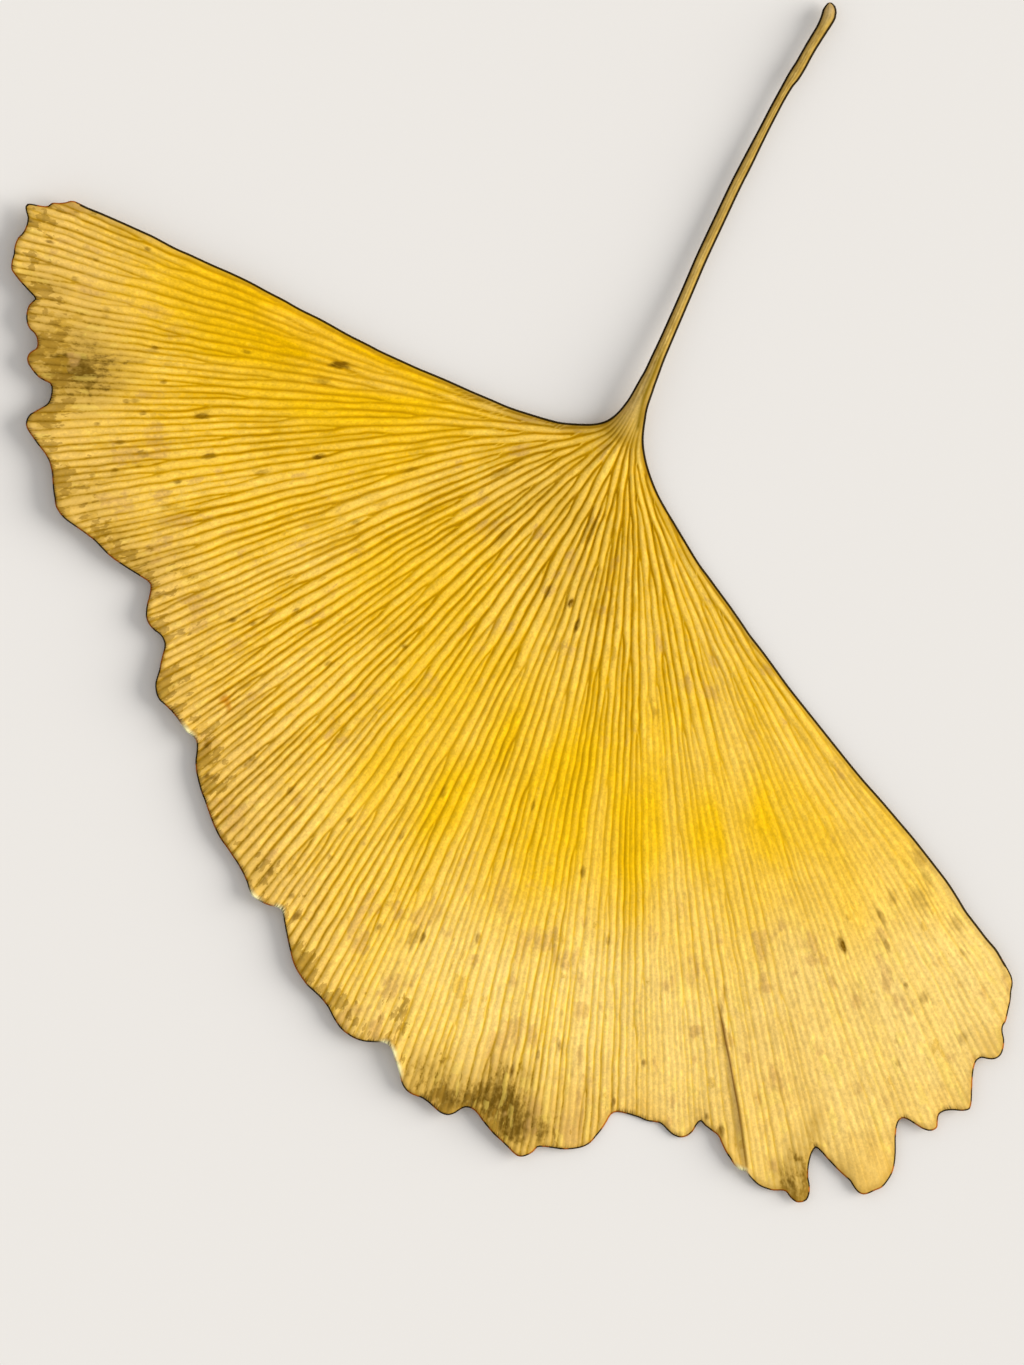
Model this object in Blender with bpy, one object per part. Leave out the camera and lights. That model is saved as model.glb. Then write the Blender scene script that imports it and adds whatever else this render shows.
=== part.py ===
"""A single ginkgo leaf, lying on a flat surface: a fan-shaped blade and its stalk, grown as one piece.

The leaf is drawn in flat drawing units (x to the right, y down) around the point where the veins
fan out, then scaled, turned so that the stalk points along +Y, and lifted into its gently cupped
form. Z = 0 is the surface that it rests on.
"""

import math

import bmesh
import bpy
import numpy as np

# ---------------------------------------------------------------- driving dimensions
UNIT = 0.075e-3          # metres in one drawing unit: the blade is about 97 mm across
TURN = math.radians(38)  # turn of the drawing about +Z
LAMINA = 0.35            # mm, thickness of the blade
MARGIN_LAMINA = 0.26     # mm, thickness at the lobed margin
STALK_DEPTH = 0.86       # height of the stalk's section over its width
FAN = (640.0, 405.0)     # drawing units, the point the veins fan out from
FAN_AXIS = 238.0         # degrees, direction of the middle of the fan
FLAT_CENTRE = (511.0, 720.0)  # drawing units, middle of the patch the leaf rests on
FLAT_RADIUS = 165.0      # drawing units
CUP = 3.0                # mm of lift, see lift()
FIRST_ARC = 40.0         # drawing units, radius of the first whole arc of the fan
OUTLINE_TOLERANCE = 0.9  # drawing units

# Outline, in drawing units. The two straight sides run from the neck to the corners, and the
# margin runs round the lobes from the left corner to the right one.
LEFT_SIDE = [
    (628, 399), (620, 409.5), (613, 416), (608, 419.7), (600, 422.5), (592, 423.7), (584, 423.8),
    (569, 423), (560, 422), (548, 419), (530, 413.6), (510, 407), (490, 398.5), (470, 390),
    (450, 381), (431, 373), (420, 368.5), (400, 359.5), (380, 350.3), (368, 344), (350, 335),
    (330, 323.8), (320, 318.3), (300, 308.5), (285, 300), (270, 292.3), (250, 281.5), (230, 272),
    (216, 266), (200, 258.7), (191, 254.5), (176, 248), (160, 239.5), (154, 236.3), (139, 229.5),
    (120, 221), (100, 212.3), (88, 207.5), (80, 203.6), (75, 201.3),
]
MARGIN = [
    (70.5, 201), (66.5, 202.2), (60, 203.1), (52, 203), (48.5, 205.8), (44, 206.2), (36, 204.8),
    (32, 204), (27.5, 204), (25.7, 206.5), (26, 211), (27.8, 217.5), (27.2, 223), (25, 229.5),
    (22, 234), (18.3, 237.7), (15.4, 244.3), (14.2, 250), (13.8, 254.5), (12.4, 259),
    (11.4, 264.8), (11.7, 270), (14, 273.6), (19, 280.2), (25, 287), (29.5, 292), (33.8, 296.3),
    (35.2, 298.5), (32.6, 301.5), (29.3, 305), (27.2, 310.3), (26.4, 317.5), (27.2, 323.5),
    (30, 329.3), (34.5, 333.7), (36.8, 338), (37.5, 344), (36.4, 348.3), (31.5, 351.3),
    (28.6, 354.3), (27.2, 358.7), (28.2, 363.8), (31.5, 369), (36, 374.8), (40.3, 378.5),
    (45.5, 381.4), (50, 383.6), (51.6, 388), (51.2, 394), (50.2, 398.3), (47.7, 403.3),
    (42.5, 407), (36, 410.7), (30, 414.3), (27, 418.7), (26, 423.7), (26.8, 428), (29.3, 432.5),
    (33, 437.7), (37.4, 444), (41.8, 449.5), (45.5, 454.5), (48.4, 459.7), (50.6, 466.3),
    (52, 473.6), (52.5, 481), (53.2, 489.7), (54.6, 498.5), (55.7, 506), (58.7, 511.7),
    (63, 517.3), (69.7, 522.7), (77.7, 528.2), (86.5, 534.5), (94, 540.3), (101.2, 547.7),
    (108.5, 555), (120.3, 563.8), (130.3, 570.3), (140.5, 576.6), (149, 582.4), (150.5, 586.4),
    (149.3, 595.2), (147, 604), (145.8, 612.8), (146.4, 618.7), (149, 624.5), (154.2, 630.4),
    (160, 634.8), (163.7, 640.7), (164.5, 646.5), (162.6, 654), (160.5, 662.7), (159.3, 669.3),
    (156.8, 677.3), (155.2, 684.7), (156.3, 693.5), (159.3, 700), (165.2, 705.2), (172.5, 712.5),
    (178.4, 720), (182.8, 726.5), (187.2, 732.3), (192.3, 736), (196, 740.4), (196.6, 750),
    (195.4, 760), (195.9, 770), (197.5, 778.5), (201.1, 791.6), (204.5, 800.4), (208.1, 810.7),
    (211.8, 821), (215.5, 829.7), (220.6, 839.3), (226.5, 847.3), (232.3, 856), (238.2, 865),
    (242.6, 873), (246.3, 881), (249.2, 890), (252.1, 895.7), (258, 900), (264, 903.5),
    (271, 906), (278, 907.6), (281.7, 910.5), (283, 915.2), (284.5, 924), (286.7, 935.7),
    (289.6, 949), (292.5, 960.7), (296.2, 969.5), (301.3, 977.5), (307.2, 985.6), (314.5, 992.2),
    (321.9, 999.5), (327.7, 1007), (332.1, 1015.7), (336.5, 1023), (341, 1029), (348.3, 1034.8),
    (355.6, 1039), (364.4, 1041.5), (374.7, 1042.2), (383.5, 1042.6), (388.6, 1045),
    (392.3, 1051), (394.7, 1059), (397.6, 1067), (400, 1077), (402.5, 1085), (406.8, 1091),
    (413.2, 1095), (421.5, 1098), (428, 1102.4), (434, 1107.6), (440, 1112.7), (447.2, 1115.2),
    (453.8, 1113.8), (460.4, 1109.7), (464.8, 1107.5), (471.4, 1108.6), (476.5, 1112.7),
    (482.4, 1120.7), (488.3, 1128), (494.1, 1134.7), (501.5, 1141.3), (507.3, 1147),
    (513.2, 1153), (517.6, 1156.2), (522.7, 1156.8), (529.3, 1154.5), (533.7, 1151.5),
    (537.4, 1147.5), (544, 1147.1), (552.8, 1148.3), (563, 1149.6), (574.8, 1149), (583.6, 1147),
    (590.5, 1143), (595.6, 1137.3), (601.9, 1129.6), (606.8, 1122), (611, 1115), (615.2, 1112.6),
    (620.8, 1112.8), (630.6, 1115.3), (639, 1118), (647.4, 1121.5), (653.7, 1122.2),
    (660.7, 1124), (667, 1130), (672.6, 1135), (679.6, 1137.7), (686.6, 1136.6), (692.9, 1131.7),
    (697.1, 1124.7), (700.6, 1121.5), (704.8, 1125.7), (711.8, 1131), (718.1, 1136),
    (721.6, 1143.6), (725.8, 1152), (730.7, 1159.7), (735, 1166), (741.2, 1170.5),
    (746.1, 1171.6), (748.2, 1175), (753.1, 1180.7), (759.4, 1186), (766.4, 1189),
    (773.4, 1190.8), (780.2, 1190.8), (785.4, 1191.5), (790.6, 1198), (796.2, 1202.3),
    (802.2, 1202.4), (806.7, 1200.3), (809.5, 1194), (809.9, 1185.6), (808.5, 1177.2),
    (808.8, 1167.4), (810.3, 1159), (812.7, 1152), (815.9, 1147.8), (820.4, 1151.3),
    (827.4, 1159), (835.8, 1168), (844.2, 1176), (849.8, 1181), (854, 1187.7), (858.2, 1192.6),
    (863.1, 1194.7), (868, 1194), (875, 1190.8), (882, 1187.7), (887.6, 1181.4), (892.5, 1173),
    (895, 1163.2), (896, 1152), (896, 1138), (897, 1127), (899.5, 1120.5), (903, 1118.4),
    (908, 1120), (915.6, 1124.7), (922.6, 1129), (929, 1131), (933.8, 1130.3), (937.3, 1127.5),
    (938, 1121.2), (939.1, 1115), (944.3, 1111.4), (952, 1110.4), (963.2, 1111), (969.5, 1109.3),
    (971.6, 1103), (972.3, 1089), (973, 1076), (974.4, 1066.7), (977, 1060.5), (981.3, 1058),
    (988, 1059.2), (994.5, 1059.2), (1000.3, 1055.8), (1003.3, 1049.2), (1004.3, 1039.7),
    (1002.8, 1032.3), (1003, 1026.5), (1005.9, 1021.3), (1008.4, 1011), (1010.9, 999.3),
    (1011.4, 992), (1012.8, 984), (1012, 977.3),
]
RIGHT_SIDE = [
    (652.9, 393.3), (650.3, 400.5), (647.9, 408), (645.6, 421.3), (644, 433.3), (643.8, 442.7), (644.8, 452),
    (647.3, 464), (652, 478.7), (658.7, 494.7), (666.7, 509.3), (676, 524.7), (684.7, 539.3),
    (700, 564.2), (708.8, 576), (720.5, 592), (730.8, 606), (744, 625), (750, 634), (763, 650.7),
    (773.3, 664.7), (786.5, 683), (799.7, 700), (813, 716.7), (826, 733), (839.3, 749.7),
    (847.5, 760), (855.2, 769.5), (865.3, 781.5), (881.8, 800), (899.5, 820.8), (913.5, 837.3),
    (923.6, 850), (936.3, 866.3), (949.3, 883.5), (959.5, 899.5), (966.5, 911), (977, 924.8),
    (987.5, 938.5), (996.8, 949.5), (1002.5, 959), (1008.4, 969.3),
]
# Stalk: centre line from the free end to the neck, with its width, in drawing units.
STALK = [
    (829.6, 3.0, 5), (829.9, 6, 10.5), (829.6, 11.2, 14.6), (828.6, 16, 15.2), (826.4, 21, 14.2),
    (822.6, 28, 12.9), (815.5, 39.5, 12.4), (810.3, 48, 12.2), (805.9, 55.8, 12.2),
    (800.4, 65.8, 12.6), (796.2, 72.5, 12.9), (793, 77.5, 12.6), (789.3, 82.8, 11.2),
    (781.6, 96, 10.3), (773.8, 110.5, 10.4), (765.2, 127.2, 10.4), (756.6, 144, 11),
    (745.9, 165.2, 11.9), (736.5, 183.5, 12), (719, 220.5, 12.2), (701.5, 258, 12.3),
    (688, 289.5, 12.4), (676.5, 316, 12.8), (666, 340, 13.3), (658, 358, 14.2),
    (649.5, 378, 16.4), (643.5, 389.5, 19.5),
]
# Rows across the neck: the matching places on the two sides, and how far the row bows outwards.
NECK = [((628, 399), (652.9, 393.3), 0.0), ((620, 409.5), (647.9, 408), 1.2),
        ((613, 416), (645.6, 421.3), 3.4), ((608, 419.7), (644, 433.3), 5.8)]
# The small fold that runs up from the margin: its right side stands over its left side.
FOLD = [(720.5, 993), (725.8, 1040), (730, 1059.6), (734.9, 1087.6), (738.4, 1105.8),
        (741.9, 1129.6), (745.4, 1154.8), (747.5, 1171.6)]
FOLD_STEP = 0.42  # mm at the margin

# Levels between the first arc and the margin, and the number of strips across the leaf there.
LEVELS = [(0.0, 9), (0.025, 9), (0.06, 10), (0.11, 11), (0.17, 13), (0.24, 15), (0.32, 18),
          (0.41, 22), (0.50, 26), (0.60, 32), (0.70, 40), (0.79, 52), (0.87, 76), (0.94, 120)]


# ---------------------------------------------------------------- flat drawing
def polar(points):
    """Distance from the fan point, and angle from the middle of the fan, minus to the left."""
    p = np.asarray(points, float)
    dx, dy = p[..., 0] - FAN[0], FAN[1] - p[..., 1]
    angle = (np.degrees(np.arctan2(dy, dx)) - FAN_AXIS + 180) % 360 - 180
    return np.hypot(dx, dy), angle


def from_polar(rho, angle):
    a = np.radians(np.asarray(angle) + FAN_AXIS)
    return np.stack([FAN[0] + rho * np.cos(a), FAN[1] - rho * np.sin(a)], axis=-1)


def simplified(points, tolerance):
    """The outline with the points that lie within tolerance of a straight run left out."""
    p = np.asarray(points, float)
    keep = {0, len(p) - 1}
    todo = [(0, len(p) - 1)]
    while todo:
        a, b = todo.pop()
        if b - a < 2:
            continue
        run = p[b] - p[a]
        off = p[a + 1:b] - p[a]
        away = np.abs(run[0] * off[:, 1] - run[1] * off[:, 0]) / max(np.hypot(*run), 1e-9)
        worst = int(away.argmax())
        if away[worst] > tolerance:
            keep.add(a + 1 + worst)
            todo += [(a, a + 1 + worst), (a + 1 + worst, b)]
    return p[sorted(keep)]


def side(points):
    """A side of the blade as (distances, angles), from the first arc outwards."""
    rho, angle = polar(points)
    order = np.argsort(rho)
    rho, angle = rho[order], angle[order]
    keep = rho > 25
    return rho[keep], angle[keep]


LEFT, RIGHT = side(LEFT_SIDE), side(RIGHT_SIDE)


def across(rho, share):
    """Angle at a share of the way from the left side to the right side, at that distance."""
    a = np.interp(rho, *LEFT)
    b = np.interp(rho, *RIGHT)
    return a + share * (b - a)


# ---------------------------------------------------------------- form
def smooth(t):
    t = np.clip(t, 0, 1)
    return t * t * (3 - 2 * t)


def lift(x, y):
    """Height in mm of the underside: flat where it rests, then a shallow uneven cup."""
    dx, dy = x - FLAT_CENTRE[0], y - FLAT_CENTRE[1]
    away = np.hypot(dx, dy)
    turn = np.arctan2(-dy, dx)
    s = np.clip((away - FLAT_RADIUS) / 300.0, 0, 3)
    # The left side stands highest, and the stalk lies almost on the surface.
    lean = 0.66 + 0.30 * np.cos(turn - math.radians(205))
    lean = lean * (1 - 0.58 * np.exp(-((turn - math.radians(66)) / math.radians(18)) ** 2))
    lean = lean * (1 - 0.28 * np.exp(-((turn - math.radians(152)) / math.radians(12)) ** 2))
    # The lower right margin lies nearly flat, but for a small curl beside the fold.
    past = np.degrees(turn) + 72
    lean = lean * (1 - 0.88 * np.exp(-(past / np.where(past > 0, 40, 24)) ** 2))
    curl = 0.40 * np.exp(-((x - 716) ** 2 + (y - 1150) ** 2) / 22.0 ** 2)
    wave = (0.13 * np.sin(3 * turn - 1.1) + 0.10 * np.sin(7 * turn + 0.4)
            + 0.08 * np.sin(12 * turn + 2.1))
    neck = 0.90 * np.exp(-((x - 622) ** 2 + (y - 392) ** 2) / 110.0 ** 2) * smooth(s / 0.25)
    return CUP * s ** 1.5 / (1 + s ** 1.5) * lean * (1 + wave * smooth(s / 1.2)) + neck + curl


def fold_lift(x, y):
    """Height in mm that the fold adds: a step that fades to nothing up its length and sideways."""
    f = np.asarray(FOLD, float)
    along = np.clip((y - f[0, 1]) / (f[-1, 1] - f[0, 1]), 0, 1)
    off = x - np.interp(y, f[:, 1], f[:, 0])
    fade = smooth((y - 960) / 90.0)
    over = np.where(off > 0, np.exp(-np.abs(off) / 46.0), np.exp(-np.abs(off) / 3.0))
    end = 1 - 0.65 * smooth((y - 1120) / 50.0)
    return FOLD_STEP * along ** 1.2 * over * fade * end


def thickness(rho, share, ratio):
    """Blade thickness in mm: full near the neck, thinner at the margin."""
    body = LAMINA + (MARGIN_LAMINA - LAMINA) * smooth((ratio - 0.75) / 0.25)
    bulge = 1 - (2 * share - 1) ** 2
    return body + 0.62 * bulge * np.exp(-((rho - 20) / 42.0) ** 2)


# ---------------------------------------------------------------- rows, as (points, low, high)
def stalk_rows():
    """Rows across the stalk. Each is a ten-sided section: five places above, five below."""
    s = np.asarray(STALK, float)
    step = np.gradient(s[:, :2], axis=0)
    step /= np.hypot(step[:, 0], step[:, 1])[:, None]
    right = np.stack([-step[:, 1], step[:, 0]], axis=1)  # to the left of the way down the drawing
    rows = []
    spread = np.cos(np.radians([18, 54, 90, 126, 162])) / math.cos(math.radians(18))
    rise = np.sin(np.radians([18, 54, 90, 126, 162]))
    for (x, y, width), r in zip(s, right):
        points = np.array([x, y]) - r * (spread * width / 2)[:, None] * -1
        half = 0.5 * width * STALK_DEPTH * UNIT * 1000
        centre = lift(x, y) + 0.47
        rows.append((points, centre - half * rise, centre + half * rise))
    return rows


def neck_rows():
    rows = []
    bow = np.array([math.cos(math.radians(FAN_AXIS)), -math.sin(math.radians(FAN_AXIS))])
    for n, (a, b, depth) in enumerate(NECK):
        k = n / len(NECK)
        share = 0.5 - 0.5 * np.cos(np.radians([18, 54, 90, 126, 162])) / math.cos(math.radians(18))
        share = share + (np.linspace(0, 1, 5) - share) * k
        a, b = np.array(a, float), np.array(b, float)
        points = a + (b - a) * share[:, None] + bow * (depth * 4 * share * (1 - share))[:, None]
        under = lift(points[:, 0], points[:, 1])
        rise = np.sqrt(np.clip(1 - (2 * share - 1) ** 2 * 0.9, 0, 1))
        half = (0.66 - 0.17 * k) * (1 + 0.1 * k) * 1.02
        centre = under.mean() + 0.55 - 0.14 * k
        round_low, round_high = centre - half * rise * 0.62, centre + half * rise * 0.72
        deep = thickness(20.0 + 20 * k, share, 0.1)
        k2 = k ** 1.3
        rows.append((points, round_low + (under + 0.03 * (1 - k) - round_low) * k2,
                     round_high + (under + deep - round_high) * k2))
    return rows


def fan_rows():
    edge = simplified(MARGIN, OUTLINE_TOLERANCE)
    edge = np.vstack([LEFT_SIDE[-1], edge, RIGHT_SIDE[-1]])
    rho_m, angle_m = polar(edge)
    a, b = np.interp(rho_m, *LEFT), np.interp(rho_m, *RIGHT)
    share_m = (angle_m - a) / (b - a)
    share_m[0], share_m[-1] = 0.0, 1.0
    share_m = np.maximum.accumulate(share_m + np.arange(len(share_m)) * 1e-9)
    rows = []
    for level, strips in LEVELS + [(1.0, None)]:
        if strips is None:
            share, rho_end = share_m, rho_m
        else:
            # strips of equal width along the margin's angle
            share = np.linspace(0, 1, strips + 1)
            rho_end = np.interp(share, share_m, rho_m)
            low = np.array([rho_m[np.abs(share_m - s) < 0.035].min() for s in share])
            calm = smooth((level - 0.6) / 0.4)
            rho_end = low + (rho_end - low) * calm
            rho_end[0], rho_end[-1] = rho_m[0], rho_m[-1]
        rho = FIRST_ARC + level * (rho_end - FIRST_ARC)
        points = from_polar(rho, across(rho, share)) if strips else edge
        x, y = points[:, 0], points[:, 1]
        low = lift(x, y) + fold_lift(x, y)
        deep = thickness(rho, share, rho / np.maximum(rho_end, 1))
        rows.append((points, low, low + deep))
    return rows


def build_mesh():
    rows = stalk_rows() + neck_rows() + fan_rows()
    verts, top, bottom = [], [], []
    for points, low, high in rows:
        for store, z in ((top, high), (bottom, low)):
            start = len(verts)
            verts += [(p[0], p[1], h) for p, h in zip(points, z)]
            store.append(list(range(start, start + len(points))))
    faces = []

    def ladder(upper, lower, flip):
        """Triangles between two neighbouring rows with different numbers of points."""
        i = j = 0
        n, m = len(upper) - 1, len(lower) - 1
        where = np.array([v[:2] for v in verts])
        while i < n or j < m:
            if i == n:
                go_lower = True
            elif j == m:
                go_lower = False
            else:
                down = np.hypot(*(where[upper[i]] - where[lower[j + 1]]))
                over = np.hypot(*(where[upper[i + 1]] - where[lower[j]]))
                go_lower = down < over
            if go_lower:
                face = (upper[i], lower[j], lower[j + 1])
                j += 1
            else:
                face = (upper[i], lower[j], upper[i + 1])
                i += 1
            faces.append(face[::-1] if flip else face)

    for k in range(len(rows) - 1):
        ladder(top[k], top[k + 1], False)
        ladder(bottom[k], bottom[k + 1], True)
    # the rim, all round
    rim_top = ([r[0] for r in top] + top[-1][1:-1] + [r[-1] for r in reversed(top)]
               + top[0][-2:0:-1])
    rim_low = ([r[0] for r in bottom] + bottom[-1][1:-1] + [r[-1] for r in reversed(bottom)]
               + bottom[0][-2:0:-1])
    for k in range(len(rim_top)):
        a, b = rim_top[k], rim_top[(k + 1) % len(rim_top)]
        c, d = rim_low[k], rim_low[(k + 1) % len(rim_low)]
        faces += [(a, b, c), (b, d, c)]

    flat = np.array(verts)
    c, s = math.cos(TURN), math.sin(TURN)
    mm = UNIT * 1000
    x = (flat[:, 0] * c + flat[:, 1] * s) * mm
    y = (flat[:, 0] * s - flat[:, 1] * c) * mm
    out = np.stack([x, y, flat[:, 2]], axis=1)
    low, high = out.min(0), out.max(0)
    out -= [(low[0] + high[0]) / 2, (low[1] + high[1]) / 2, low[2]]
    return out / 1000, faces


def material():
    m = bpy.data.materials.new("leaf_yellow")
    m.use_nodes = True
    shader = m.node_tree.nodes["Principled BSDF"]
    shader.inputs["Base Color"].default_value = (0.80, 0.52, 0.06, 1)
    shader.inputs["Roughness"].default_value = 0.55
    shader.inputs["Metallic"].default_value = 0.0
    return m


def main():
    for obj in list(bpy.data.objects):
        bpy.data.objects.remove(obj)
    verts, faces = build_mesh()
    mesh = bpy.data.meshes.new("ginkgo_leaf")
    bm = bmesh.new()
    corners = [bm.verts.new(v) for v in verts]
    for face in faces:
        bm.faces.new([corners[i] for i in face])
    bmesh.ops.recalc_face_normals(bm, faces=bm.faces)
    if bm.calc_volume(signed=True) < 0:
        bmesh.ops.reverse_faces(bm, faces=bm.faces)
    bm.to_mesh(mesh)
    bm.free()
    leaf = bpy.data.objects.new("ginkgo_leaf", mesh)
    bpy.context.scene.collection.objects.link(leaf)
    mesh.materials.append(material())
    mesh.shade_smooth()
    mesh.set_sharp_from_angle(angle=math.radians(40))


main()
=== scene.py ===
"""Looks of a single ginkgo leaf that lies on a pale surface: the veined blade, its rim and its stalk.

The leaf is drawn in flat drawing units (x to the right, y down) round the point where the veins fan
out, then given its thickness, cup, fold and vein relief, and set in the frame of the solid model.
"""

import math

import bmesh
import bpy
import numpy as np
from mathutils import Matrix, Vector
from mathutils.geometry import delaunay_2d_cdt


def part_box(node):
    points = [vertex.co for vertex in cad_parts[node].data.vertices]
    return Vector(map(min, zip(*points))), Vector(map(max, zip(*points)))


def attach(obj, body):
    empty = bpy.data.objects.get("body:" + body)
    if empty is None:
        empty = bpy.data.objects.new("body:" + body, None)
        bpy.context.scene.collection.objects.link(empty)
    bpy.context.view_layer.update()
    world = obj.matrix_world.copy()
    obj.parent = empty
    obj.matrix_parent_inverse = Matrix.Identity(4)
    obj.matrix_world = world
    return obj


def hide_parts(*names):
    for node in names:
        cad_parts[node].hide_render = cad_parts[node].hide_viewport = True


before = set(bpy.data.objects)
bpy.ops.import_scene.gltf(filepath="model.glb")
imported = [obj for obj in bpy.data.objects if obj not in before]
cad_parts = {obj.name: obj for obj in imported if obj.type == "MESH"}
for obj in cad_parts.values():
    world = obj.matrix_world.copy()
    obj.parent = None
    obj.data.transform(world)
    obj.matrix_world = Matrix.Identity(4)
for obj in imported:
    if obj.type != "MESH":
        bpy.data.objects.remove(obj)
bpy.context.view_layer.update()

# ---------------------------------------------------------------- dimensions
UNIT = 0.075e-3          # metres in one drawing unit
MM = UNIT * 1000         # millimetres in one drawing unit
TURN = math.radians(38)
LAMINA = 0.35            # mm
MARGIN_LAMINA = 0.26     # mm
STALK_DEPTH = 0.86
FAN = (640.0, 405.0)
FAN_AXIS = 238.0
FLAT_CENTRE = (511.0, 720.0)
FLAT_RADIUS = 165.0
CUP = 3.0                # mm
FIRST_ARC = 46.0         # drawing units: inside this the neck and stalk are lofted
ROW_STEP = 6             # drawing units between rows of points on the upper side
GROOVE = 0.070           # mm, depth of the vein lines on the upper side
UNDER_GROOVE = 0.035     # mm
VEIN_GAP = 7.3           # drawing units between veins

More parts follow.
